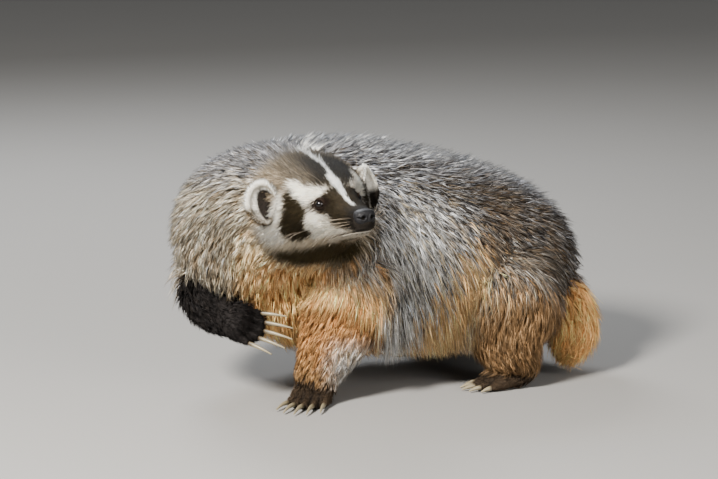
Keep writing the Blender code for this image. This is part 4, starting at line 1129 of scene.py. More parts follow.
def ramp(tree: bpy.types.NodeTree, value: object, ends: tuple, first: object = 0.0, last: object = 1.0,
         soft: bool = True) -> bpy.types.NodeSocket:
    """A number that goes from first to last while the value goes from one end to the other."""
    return make_node(tree, "ShaderNodeMapRange", {0: value, 1: ends[0], 2: ends[1], 3: first, 4: last},
                     interpolation_type="SMOOTHSTEP" if soft else "LINEAR").outputs[0]


def mix_colours(tree: bpy.types.NodeTree, share: object, a: object, b: object,
                blend: str = "MIX") -> bpy.types.NodeSocket:
    """The colour between two colours, or one blended on the other."""
    values = {0: share}
    for key, value in ((6, a), (7, b)):
        values[key] = value if isinstance(value, bpy.types.NodeSocket) else (*value, 1.0)[:4]
    return make_node(tree, "ShaderNodeMix", values, data_type="RGBA", blend_type=blend).outputs[2]


def darkened(tree: bpy.types.NodeTree, colour: bpy.types.NodeSocket, tone: object) -> bpy.types.NodeSocket:
    """A colour times a tone."""
    grey = make_node(tree, "ShaderNodeCombineColor", {0: tone, 1: tone, 2: tone}).outputs[0]
    return mix_colours(tree, 1.0, colour, grey, "MULTIPLY")


def math_node(tree: bpy.types.NodeTree, operation: str, a: object, b: object) -> bpy.types.NodeSocket:
    """The result of one sum."""
    return make_node(tree, "ShaderNodeMath", {0: a, 1: b}, operation=operation).outputs[0]


def put_bump(tree: bpy.types.NodeTree, shader: bpy.types.Node, height: object, strength: float, size: float) -> None:
    """Gives a shader a bump."""
    node = make_node(tree, "ShaderNodeBump", {"Height": height, "Strength": strength, "Distance": size})
    tree.links.new(node.outputs[0], shader.inputs["Normal"])


def group_tree(name: str, inputs: tuple, outputs: tuple) -> tuple:
    """A new shader node group with its ends.

    Args:
        name: the group's name.
        inputs: the name, kind and default of each input.
        outputs: the name and kind of each output.

    Returns:
        The group, the sockets that its inputs give, and its output node.
    """
    tree = bpy.data.node_groups.new(name, "ShaderNodeTree")
    for label, kind, value in inputs:
        socket = tree.interface.new_socket(label, in_out="INPUT", socket_type=kind)
        if value is not None:
            socket.default_value = value
    for label, kind in outputs:
        tree.interface.new_socket(label, in_out="OUTPUT", socket_type=kind)
    start, end = tree.nodes.new("NodeGroupInput"), tree.nodes.new("NodeGroupOutput")
    return tree, start.outputs, end


class SharedGroups:
    """The shader node groups that several finishes use."""

    INTO_BAND = (0.24, 0.42)
    INTO_TIP = (0.56, 0.68)
    WITHOUT_BAND = (0.10, 0.60)

    def __init__(self) -> None:
        """Builds the groups."""
        self.hair_colour = self.build_hair_colour()
        self.grain = self.build_grain()

    def build_hair_colour(self) -> bpy.types.NodeTree:
        """The colour along a hair: its under part, a dark band, and its tip."""
        colour, number = "NodeSocketColor", "NodeSocketFloat"
        tree, given, end = group_tree(
            "hair_colour",
            (("Tip", colour, None), ("Under", colour, None), ("Band", number, 0.0), ("Along", number, 0.0),
             ("Band Colour", colour, (0.02, 0.018, 0.018, 1)), ("Tone", number, 0.2)),
            (("Color", colour), ("Tipped", number)),
        )
        along = given["Along"]
        tipped = ramp(tree, along, self.INTO_TIP)
        plain = mix_colours(tree, ramp(tree, along, self.WITHOUT_BAND), given["Under"], given["Tip"])
        banded = mix_colours(tree, ramp(tree, along, self.INTO_BAND), given["Under"], given["Band Colour"])
        banded = mix_colours(tree, tipped, banded, given["Tip"])
        mixed = mix_colours(tree, given["Band"], plain, banded)
        lowest = math_node(tree, "SUBTRACT", 1.0, given["Tone"])
        tone = ramp(tree, noise(tree, object_place(tree), 38.0, 3.0), (0.3, 0.7), lowest, soft=False)
        tree.links.new(darkened(tree, mixed, tone), end.inputs["Color"])
        tree.links.new(tipped, end.inputs["Tipped"])
        return tree

    @staticmethod
    def build_grain() -> bpy.types.NodeTree:
        """Fine streaks that run one way over a map, as short hair that lies flat."""
        number, vector = "NodeSocketFloat", "NodeSocketVector"
        tree, given, end = group_tree(
            "lying_hair",
            (("Vector", vector, None), ("Across", number, 400.0), ("Along", number, 40.0)),
            (("Height", number), ("Streak", number)),
        )
        scale = make_node(tree, "ShaderNodeCombineXYZ", {0: given["Along"], 1: given["Across"], 2: 1.0}).outputs[0]
        place = make_node(tree, "ShaderNodeVectorMath", {0: given["Vector"], 1: scale}, operation="MULTIPLY").outputs[0]
        coarse, fine = noise(tree, place, 0.5, 2.0), noise(tree, place, 1.6, 4.0)
        height = [math_node(tree, "MULTIPLY", part, share) for part, share in ((coarse, 0.6), (fine, 0.5))]
        tree.links.new(math_node(tree, "ADD", *height), end.inputs["Height"])
        tree.links.new(fine, end.inputs["Streak"])
        return tree

    def hair(self, tree: bpy.types.NodeTree, more: dict) -> bpy.types.Node:
        """The hair's colour in a material, from what the mesh carries and some more values."""
        values = {"Tip": attribute(tree, "tip_colour", "Color"), "Under": attribute(tree, "under_colour", "Color"),
                  "Band": attribute(tree, "band"), "Along": attribute(tree, "along")}
        return make_node(tree, "ShaderNodeGroup", values | more, node_tree=self.hair_colour)


def new_material(name: str, **values: object) -> tuple:
    """A material, its node tree and its Principled BSDF, whose named inputs take the values."""
    material = bpy.data.materials.new(name)
    material.use_nodes = True
    tree = material.node_tree
    shader = tree.nodes["Principled BSDF"]
    for key, value in values.items():
        shader.inputs[key.replace("_", " ")].default_value = value
    return material, tree, shader


@dataclass(frozen=True)
class CoatFinish:
    """The finish of the coat's hair."""

    name: str = "coat_hair"
    roughness: float = 0.70
    shine: float = 0.08
    tone: float = 0.22
    band: tuple = (0.017, 0.015, 0.015, 1.0)

    def build(self, groups: SharedGroups) -> bpy.types.Material:
        """The material, which reads the coat's own colours."""
        material, tree, shader = new_material(self.name, Specular_IOR_Level=self.shine)
        node = groups.hair(tree, {"Band Colour": self.band, "Tone": self.tone})
        tree.links.new(node.outputs["Color"], shader.inputs["Base Color"])
        rough = ramp(tree, node.outputs["Tipped"], (0, 1), self.roughness + 0.1, self.roughness - 0.06, soft=False)
        tree.links.new(rough, shader.inputs["Roughness"])
        return material


@dataclass(frozen=True)
class SkinFinish:
    """The finish of the skin, which carries the flat short hair as streaks."""

    name: str = "skin_hair"
    roughness: float = 0.72
    shine: float = 0.06
    across: float = 900.0
    along: float = 60.0
    tone: float = 0.15
    streaks: float = 0.62
    bump: tuple = (0.55, 0.0012)

    def build(self, groups: SharedGroups) -> bpy.types.Material:
        """The material, which reads the skin's own colours."""
        material, tree, shader = new_material(self.name, Roughness=self.roughness, Specular_IOR_Level=self.shine)
        place = make_node(tree, "ShaderNodeUVMap", uv_map=BAKE_MAP).outputs[0]
        grain = make_node(tree, "ShaderNodeGroup", {"Vector": place, "Across": self.across, "Along": self.along},
                          node_tree=groups.grain)
        node = groups.hair(tree, {"Tone": self.tone})
        dark = ramp(tree, grain.outputs["Streak"], (0.35, 0.65), self.streaks, soft=False)
        tree.links.new(darkened(tree, node.outputs["Color"], dark), shader.inputs["Base Color"])
        put_bump(tree, shader, grain.outputs["Height"], *self.bump)
        return material


@dataclass(frozen=True)
class HornFinish:
    """The finish of the claws: pale horn, darker at the root, with fine lines along it."""

    name: str = "claw_horn"
    pale: tuple = (122, 112, 88)
    dark: tuple = (58, 48, 36)
    root: tuple = (0.12, 0.52)
    bump: tuple = (0.18, 0.0004)

    def build(self) -> bpy.types.Material:
        """The material, which reads how far along a claw a place is."""
        material, tree, shader = new_material(self.name, Roughness=0.38, Specular_IOR_Level=0.5, Coat_Weight=0.15)
        place = object_place(tree)
        patchy = math_node(tree, "MULTIPLY", noise(tree, place, 160.0, 4.0), 0.35)
        share = ramp(tree, math_node(tree, "ADD", attribute(tree, "along"), patchy), self.root)
        tree.links.new(mix_colours(tree, share, shade(*self.dark), shade(*self.pale)), shader.inputs["Base Color"])
        put_bump(tree, shader, noise(tree, place, 900.0, 2.0), *self.bump)
        return material


@dataclass(frozen=True)
class EyeFinish:
    """The finish of the eyes: a dark brown iris and black pupil under a wet cornea."""

    name: str = "eye_wet"
    iris: tuple = (8, 6, 5)
    fibres: tuple = (18, 12, 9)
    pupil: tuple = (4, 4, 5)
    rim: tuple = (10, 7, 6)
    pupil_edge: tuple = (0.36, 0.44)
    rim_edge: tuple = (0.70, 0.92)

    def build(self) -> bpy.types.Material:
        """The material, which reads how far a place is from the eye's middle."""
        material, tree, shader = new_material(self.name, Roughness=0.06, Specular_IOR_Level=0.22, Coat_Weight=0.25,
                                              Coat_Roughness=0.02)
        out = attribute(tree, "from_pupil")
        iris = mix_colours(tree, noise(tree, object_place(tree), 900.0, 3.0), shade(*self.iris), shade(*self.fibres))
        colour = mix_colours(tree, ramp(tree, out, self.pupil_edge), shade(*self.pupil), iris)
        colour = mix_colours(tree, ramp(tree, out, self.rim_edge), colour, shade(*self.rim))
        tree.links.new(colour, shader.inputs["Base Color"])
        return material


@dataclass(frozen=True)
class NoseFinish:
    """The finish of the nose pad: damp dark pebbled skin."""

    name: str = "nose_skin"
    colour: tuple = (4, 4, 5)
    lighter: tuple = (18, 17, 21)
    between: tuple = (16, 15, 17)
    # The painted shade in the nostrils and the groove.
    hollow_shade: tuple = (6, 5, 5)
    cells: float = 1500.0
    bump: tuple = (0.5, 0.0003)

    def build(self) -> bpy.types.Material:
        """The material, which lays painted shade where its hollow_shade value says, in the nostrils and the groove."""
        material, tree, shader = new_material(self.name, Roughness=0.50, Specular_IOR_Level=0.22, Coat_Weight=0.06,
                                              Coat_Roughness=0.22)
        place = object_place(tree)
        cell = make_node(tree, "ShaderNodeTexVoronoi", {"Vector": place, "Scale": self.cells},
                         feature="DISTANCE_TO_EDGE").outputs[0]
        raised = ramp(tree, cell, (0.0, 0.28))
        lit = mix_colours(tree, noise(tree, place, 420.0, 3.0), shade(*self.colour), shade(*self.lighter))
        base = mix_colours(tree, raised, shade(*self.between), lit)
        # Painted shade in the nostrils and the groove between them.
        dark = mix_colours(tree, attribute(tree, "hollow_shade"), base, shade(*self.hollow_shade))
        tree.links.new(dark, shader.inputs["Base Color"])
        put_bump(tree, shader, raised, *self.bump)
        return material


@dataclass(frozen=True)
class FloorFinish:
    """The finish of the studio floor."""

    name: str = "studio_floor"
    colour: tuple = (0.25, 0.243, 0.232)
    patches: float = 0.96

    def build(self) -> bpy.types.Material:
        """The material."""
        material, tree, shader = new_material(self.name, Roughness=0.85, Specular_IOR_Level=0.2)
        other = tuple(c * self.patches for c in self.colour)
        mixed = mix_colours(tree, noise(tree, object_place(tree), 3.0, 4.0), self.colour, other)
        tree.links.new(mixed, shader.inputs["Base Color"])
        return material


def joined_solids(solids: list) -> bpy.types.Mesh:
    """One mesh that holds all the closed solids, each given by its vertices and faces."""
    shape = bmesh.new()
    for vertices, faces in solids:
        made = [shape.verts.new(v) for v in vertices]
        for face in faces:
            shape.faces.new([made[i] for i in face])
    bmesh.ops.recalc_face_normals(shape, faces=shape.faces)
    return mesh_from(shape, bpy.data.meshes.new("solids"))


def mesh_from(shape: bmesh.types.BMesh, mesh: bpy.types.Mesh) -> bpy.types.Mesh:
    """Writes a shape to a mesh, and frees the shape."""
    shape.to_mesh(mesh)
    shape.free()
    return mesh


def ball_solid(size: Vector, matrix: Matrix, rings: int = 14, sides: int = 24) -> tuple:
    """The vertices and faces of an ellipsoid."""
    points, faces = [Vector((0, 0, -size.z))], []
    for i in range(1, rings):
        low = -math.pi / 2 + math.pi * i / rings
        for turn in turns(sides):
            points.append(Vector((size.x * math.cos(low) * math.cos(turn), size.y * math.cos(low) * math.sin(turn),
                                  size.z * math.sin(low))))
    points.append(Vector((0, 0, size.z)))
    last = len(points) - 1
    for k in range(sides):
        after = (k + 1) % sides
        faces.append((0, 1 + after, 1 + k))
        faces.append((last, last - sides + k, last - sides + after))
        for a in range(1, 1 + (rings - 2) * sides, sides):
            faces.append((a + k, a + after, a + sides + after, a + sides + k))
    return [tuple(matrix @ p) for p in points], faces


def ring_solid(rings: list, sides: int = 12) -> tuple:
    """The vertices and faces of a closed tube through oval rings, each a centre, along, up, half width and height."""
    points = []
    for centre, along, up, wide, high in rings:
        left = up.cross(along).normalized()
        top = along.cross(left).normalized()
        points += [tuple(centre + left * (wide * math.sin(turn)) + top * (high * math.cos(turn)))
                   for turn in turns(sides)]
    first, last, *quads = capped_rings(len(rings), sides)
    return points, [first, *quads, last]


@dataclass
class SkinSurface:
    """The finished skin as arrays: its vertices, triangles and normals, and the fields at its vertices."""

    vertices: np.ndarray
    triangles: np.ndarray
    normals: np.ndarray
    fields: Fields


@dataclass
class Shell:
    """One closed part of the skin: its vertices, triangles, colours, places along the hair, and map corners."""

    points: np.ndarray
    triangles: np.ndarray
    paint: Paint
    along: np.ndarray
    corners: np.ndarray


@dataclass
class Skin:
    """The one skin of the body, head, legs, tail and ears, with lids, lips and the folds of the feet."""

    form: BodyForm
    markings: Markings
    voxel: float = 0.0027
    smoothing: int = 7
    lid_sides: int = 72
    ear_sides: int = 64
    opening: tuple = (1.02, 0.76)
    tip_tone: float = 0.9
    under_tone: float = 0.8
    band_tone: float = 0.6
    ear_along: float = 0.9
    lid_along: float = 0.6
    lid_dark: float = 0.85
    groove_depth: float = 0.0013
    groove_width: float = 0.00075
    lip_swell: float = 0.0008
    lip_place: float = 0.0021
    lip_width: float = 0.0013
    chin_drawn: float = 0.0012
    socket_under: float = 0.0010
    socket_rise: float = 0.0022
    eye_hollow: float = 0.0012
    toe_gap: float = 0.0048

    def solids(self) -> list:
        """The closed solids that the skin is fused from."""
        made = [self.form.tubes[r].solid() for r in Region if r not in FOOT_REGIONS]
        for centre, size, depth in (SHOULDER, THROAT):
            made.append(ball_solid(size - Vector((depth, depth, depth)), Matrix.Translation(centre)))
        for foot in FEET:
            forward, side, back = foot.axes()
            turn = Matrix((forward, side, back)).transposed().to_4x4()
            centre = Vector(foot.ankle) + forward * (PALM_PLACE[0] * foot.length) + back * (PALM_PLACE[1] * PALM_HEIGHT)
            size = Vector((PALM_SIZE[0] * foot.length, PALM_SIZE[1] * foot.width, PALM_HEIGHT))
            size -= Vector((FOOT_DEPTH, FOOT_DEPTH, FOOT_DEPTH)) / 2
            made.append(ball_solid(size, Matrix.Translation(centre) @ turn))
            for root, tip, way, start, up, _ in foot.toes():
                thin = FOOT_DEPTH / 2
                rings = []
                for share in np.linspace(0, 1, 9):
                    swell = 1 + 0.10 * math.sin(share * 2 * math.pi * 1.25)
                    radius = (TOE_RADIUS + (TOE_TIP_RADIUS - TOE_RADIUS) * share**2 - thin) * swell
                    centre = (root - way * TOE_RADIUS).lerp(tip, share)
                    rings.append((centre, way.lerp(start, share), up, 0.95 * radius, radius))
                made.append(ring_solid(rings, sides=14))
        return made

    def fused(self) -> bpy.types.Mesh:
        """The solids as one closed surface, finer round the eyes, mouth and nose."""
        obj = put_object("fusing", joined_solids(self.solids()))
        remesh = obj.modifiers.new("fuse", "REMESH")
        remesh.mode, remesh.voxel_size = "VOXEL", self.voxel
        smooth = obj.modifiers.new("smooth", "SMOOTH")
        smooth.factor, smooth.iterations = 0.5, self.smoothing
        mesh = evaluated(obj)
        bpy.data.objects.remove(obj)
        shape = bmesh.new()
        shape.from_mesh(mesh)
        self.keep_largest(shape)
        to_head = np.array(head_matrix().inverted())
        for reach in (0.0170, 0.0105):
            points = np.array([v.co for v in shape.verts])
            fine = self.fine_places(points, reach, to_head)
            edges = [e for e in shape.edges if fine[e.verts[0].index] and fine[e.verts[1].index]]
            bmesh.ops.subdivide_edges(shape, edges=edges, cuts=1, use_grid_fill=True)
            bmesh.ops.triangulate(shape, faces=[f for f in shape.faces if len(f.verts) > 4])
            shape.verts.index_update()
        bmesh.ops.triangulate(shape, faces=shape.faces)
        bmesh.ops.smooth_vert(shape, verts=[v for v, f in zip(shape.verts, self.fine_places(
            np.array([v.co for v in shape.verts]), 0.015, to_head)) if f], factor=0.5)
        return mesh_from(shape, mesh)

    @staticmethod
    def keep_largest(shape: bmesh.types.BMesh) -> None:
        """Keeps only the largest closed surface."""
        shape.verts.ensure_lookup_table()
        unseen, groups = set(shape.verts), []
        while unseen:
            group = {unseen.pop()}
            waiting = list(group)
            while waiting:
                vert = waiting.pop()
                near = {e.other_vert(vert) for e in vert.link_edges} & unseen
                unseen -= near
                group |= near
                waiting.extend(near)
            groups.append(group)
        groups.sort(key=len)
        for group in groups[:-1]:
            bmesh.ops.delete(shape, geom=list(group), context="VERTS")
        shape.verts.index_update()

    def fine_places(self, points: np.ndarray, reach: float, to_head: np.ndarray) -> np.ndarray:
        """Which vertices stand close to an eye, or nearer than part of that reach to the mouth line."""
        near = np.zeros(len(points), bool)
        for sign in (1, -1):
            near |= np.linalg.norm(points - np.array(eye_matrix(sign).translation), axis=1) < reach
        head = points @ to_head[:3, :3].T + to_head[:3, 3]
        return near | ((np.abs(above_mouth(head)) < 0.42 * reach) & (head[:, 0] > MOUTH_CORNER - 0.004)
                       & (head[:, 0] < 0.02) & (np.abs(head[:, 1]) < 0.05))

    def add_mouth(self, points: np.ndarray) -> np.ndarray:
        """Presses the line of the mouth in, and swells the lips beside it."""
        head = moved(head_matrix().inverted(), points)
        above = above_mouth(head)
        out = np.stack([head[:, 0] - MOUTH_CORNER, head[:, 1], np.zeros(len(head))], axis=1)
        fade = smooth_step(-0.002, 0.010, out[:, 0]) * (np.abs(head[:, 1]) < 0.05) * (head[:, 2] < 0.0)
        push = -self.groove_depth * bell(above, 0.0, self.groove_width)
        push += self.lip_swell * bell(np.abs(above), self.lip_place, self.lip_width)
        push -= self.chin_drawn * smooth_step(-0.001, -0.006, above) * smooth_step(0.03, 0.045, out[:, 0])
        head = head + unit(out) * (push * fade)[:, None]
        return moved(head_matrix(), head)

    def add_sockets(self, points: np.ndarray) -> np.ndarray:
        """Draws the skin in under each lid, and hollows it a little in front of and behind the eye."""
        for sign in (1, -1):
            matrix = eye_matrix(sign)
            local = moved(matrix.inverted(), points)
            far = np.linalg.norm(local, axis=1)
            way = local / np.maximum(far, 1e-9)[:, None]
            facing = np.degrees(np.arccos(np.clip(way[:, 2], -1, 1)))
            cap = EYE_RADIUS - self.socket_under + self.socket_rise * smooth_step(62, 88, facing)
            held = np.where(facing < 90, np.minimum(far, cap + 0.05 * smooth_step(78, 90, facing)), far)
            around = np.hypot(local[:, 0] / 1.25, local[:, 1])
            press = -self.eye_hollow * bell(around, 0.0105, 0.0035) * (np.abs(local[:, 2]) < 0.015)
            local = way * held[:, None]
            local[:, 2] += np.where(far < 0.02, press, 0)
            near = (far < 0.024)[:, None]
            points = np.where(near, moved(matrix, local), points)
            matrix = ear_matrix(sign)
            local = moved(matrix.inverted(), points)
            place = local / EAR_INNER
            out = np.hypot(place[:, 1], place[:, 2])
            bowl = (0.12 - 0.62 * np.sqrt(np.clip(1 - (out / 0.86) ** 2, 0, 1))) * EAR_SIZE.x
            local[:, 0] = np.minimum(local[:, 0], bowl + 0.05 * smooth_step(0.74, 0.86, out))
            near = ((out < 0.86) & (np.abs(place[:, 0]) < 1.6))[:, None]
            points = np.where(near, moved(matrix, local), points)
        return points

    def add_toes(self, points: np.ndarray) -> np.ndarray:
        """Presses a groove in between each two toes."""
        for foot in FEET:
            near, back = toe_gaps(foot, points)
            points = points - back * (self.toe_gap * near)[:, None]
        return points

    def lids(self, sign: int) -> tuple:
        """The closed ring of an eye's lids, as vertices and faces: a fold outside, an edge, and a lining."""
        turn = turns(self.lid_sides)
        wide, high = self.opening
        corner = 0.10 * np.abs(np.cos(turn)) ** 6
        edge = np.sqrt(1.0 / ((np.cos(turn) / wide) ** 2 + (np.sin(turn) / high) ** 2)) + corner
        points = []
        for more, rise in LID_PROFILE:
            tilt = edge + more
            radius = EYE_RADIUS + rise + 0.0003 * np.sin(turn) * (0.02 < more < 0.8)
            ring = np.stack([np.sin(tilt) * np.cos(turn), np.sin(tilt) * np.sin(turn), np.cos(tilt)], axis=1)
            points.append(moved(eye_matrix(sign), ring * radius[:, None]))
        faces = ring_quads(len(LID_PROFILE), self.lid_sides, loops=True)[:, (0, 1, 2, 0, 2, 3)]
        return np.concatenate(points), faces.reshape(-1, 3)

    def ear(self, sign: int) -> tuple:
        """The cup of one ear, as vertices, faces, places in its frame in shares of its size, and how far inside."""
        turn = turns(self.ear_sides)
        wall = EAR_WALL / EAR_SIZE.z
        rows = [(-math.cos(a), math.sin(a), 0.0) for a in np.radians(np.linspace(4, 98, 18))]
        rows += [(0.24, 0.975, 0.10), (0.29, 0.94, 0.25), (0.27, 1.0 - wall, 0.6)]
        rows += [(0.20 - 0.62 * math.cos(a), (0.985 - wall) * math.sin(a), 1.0)
                 for a in np.radians(np.linspace(84, 4, 14))]
        across, up = np.cos(turn), np.sin(turn)
        front, under = -sign * across, np.clip(-up, 0, 1)
        fall = 0.50 * smooth_step(0.1, 0.95, front) * smooth_step(0.85, 0.0, up) + 0.35 * smooth_step(-0.35, -1.0, up)
        pinch = 1 - 0.10 * under - 0.05 * np.clip(front, 0, 1) * under
        places, inner = [], []
        for x, share, inside in rows:
            place = np.stack([x - fall * share**2 * (x > -0.6), share * across * pinch, share * up], axis=1)
            place[:, 0] += 0.10 * share**2 * np.abs(across)
            places.append(place)
            inner.append(np.full(self.ear_sides, inside))
        places = np.concatenate(places + [np.array([(-1.0, 0, 0), (-0.42, 0, 0)])])
        inner = np.concatenate(inner + [np.array([0.0, 1.0])])
        points = moved(ear_matrix(sign), places * EAR_INNER)
        return points, closed_rings(len(rows), self.ear_sides), places, inner

    def build(self, model: Model, material: bpy.types.Material, nodes: tuple) -> SkinSurface:
        """Builds the skin with its ears and lids, and adds it.

        Args:
            model: takes the finished piece.
            material: the skin's material.
            nodes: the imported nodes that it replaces.

        Returns:
            The body's part of the skin, for the coat to stand on.
        """
        vertices, triangles, _ = arrays_of(self.fused())
        vertices = self.add_toes(self.add_sockets(self.add_mouth(vertices)))
        vertices[:, 2] = np.maximum(vertices[:, 2], FLOOR)
        fields = self.form.fields(vertices)
        surface = SkinSurface(vertices, triangles, arrays_of(new_mesh("body_skin", vertices, triangles))[2], fields)
        along = 0.95 - 0.60 * smooth_step(0.014, 0.030, fields.length)
        paint = self.markings.paint(fields, vertices)
        shells = [Shell(vertices, triangles, paint, along, self.corners(fields, triangles))]
        for sign in (1, -1):
            shells += [self.ear_shell(sign), self.lid_shell(sign)]
        starts = np.cumsum([0] + [len(s.points) for s in shells])
        whole = new_mesh("skin", np.concatenate([s.points for s in shells]),
                         np.concatenate([s.triangles + start for s, start in zip(shells, starts)]))
        put_hair(whole, np.concatenate([s.paint.tip for s in shells]) * self.tip_tone,
                 np.concatenate([s.paint.under for s in shells]) * self.under_tone,
                 np.concatenate([s.paint.band for s in shells]) * self.band_tone,
                 np.concatenate([s.along for s in shells]))
        put_map(whole, BAKE_MAP, np.concatenate([s.corners for s in shells]))
        whole.shade_smooth()
        model.add("skin", whole, material, "grizzled_coat", nodes)
        return surface

    @staticmethod
    def corners(fields: Fields, triangles: np.ndarray) -> np.ndarray:
        """Each face corner's place on the map, in the cell of its triangle's region."""
        region = fields.weights.argmax(axis=1)[triangles[:, 0]]
        t, angle = fields.t[triangles, region[:, None]], fields.angle[triangles, region[:, None]]
        turned = angle - angle[:, :1]
        angle = np.clip(angle[:, :1] + (turned + math.pi) % (2 * math.pi) - math.pi, -3.6, 3.6)
        return atlas(np.repeat(region, 3), t.ravel(), angle.ravel())

    def ear_shell(self, sign: int) -> Shell:
        """One ear with its colours."""
        points, faces, places, inner = self.ear(sign)
        flat = ear_atlas(sign, places, inner)[faces].reshape(-1, 2)
        along = np.full(len(points), self.ear_along)
        return Shell(points, faces, self.markings.ear(sign, places, inner), along, flat)

    def lid_shell(self, sign: int) -> Shell:
        """One eye's lids with their colours."""
        points, faces = self.lids(sign)
        count = len(points)
        paint = self.markings.paint(self.form.fields(points), points)
        paint.lay(EYE_DARK, np.full(count, self.lid_dark))
        flat = np.stack([np.linspace(0.50, 0.60, count), np.full(count, 0.90 + 0.03 * sign)], axis=1)
        return Shell(points, faces, paint, np.full(count, self.lid_along), flat[faces].reshape(-1, 2))


@dataclass(frozen=True)
class Zone:
    """One piece of the coat: how many clumps it has, the tufts of each, their sizes, and the slot it takes."""

    name: str
    clumps: int
    tufts: int
    width: float
    spread: float
    gather: float
    bends: bool
    slot: str
    stiff: float = 1.0


ZONES = (
    Zone("coat_face_left", 12000, 3, 0.00066, 0.0012, 0.30, False, "face_coat"),
    Zone("coat_face_right", 12000, 3, 0.00066, 0.0012, 0.30, False, "face_coat"),
    Zone("coat_neck_left", 3400, 4, 0.00090, 0.0022, 0.45, True, "grizzled_coat"),
    Zone("coat_neck_right", 4300, 4, 0.00090, 0.0022, 0.45, True, "grizzled_coat"),
    Zone("coat_back_left", 4300, 3, 0.00120, 0.0036, 0.84, True, "grizzled_coat"),
    Zone("coat_back_right", 3600, 3, 0.00125, 0.0038, 0.84, True, "grizzled_coat"),
    Zone("coat_flank_left", 4500, 3, 0.00125, 0.0038, 0.82, True, "grizzled_coat"),
    Zone("coat_flank_right", 3700, 3, 0.00130, 0.0040, 0.82, True, "grizzled_coat"),
    Zone("coat_chest", 2500, 4, 0.00105, 0.0032, 0.55, True, "tawny_coat"),
    Zone("coat_legs", 3500, 4, 0.00092, 0.0026, 0.45, True, "tawny_coat"),
    Zone("coat_feet", 5200, 2, 0.00060, 0.0014, 0.30, False, "dark_coat"),
    Zone("coat_tail", 1100, 4, 0.00115, 0.0034, 0.50, True, "tawny_coat"),
)
BENT_SHARES = (0.0, 0.45, 1.0)
# How closely the face's tufts stand, by the metres behind the nose tip.
FACE_DENSITY = ((0.0, 0.03, 0.06, 0.125), (2.6, 2.2, 1.6, 0.8))


@dataclass
class Tufts:
    """Many tufts as arrays: their roots, middles and tips, the way out at each, widths, and bake places."""

    line: np.ndarray
    out: np.ndarray
    width: np.ndarray
    colours: tuple
    bake: np.ndarray
    whitening: np.ndarray


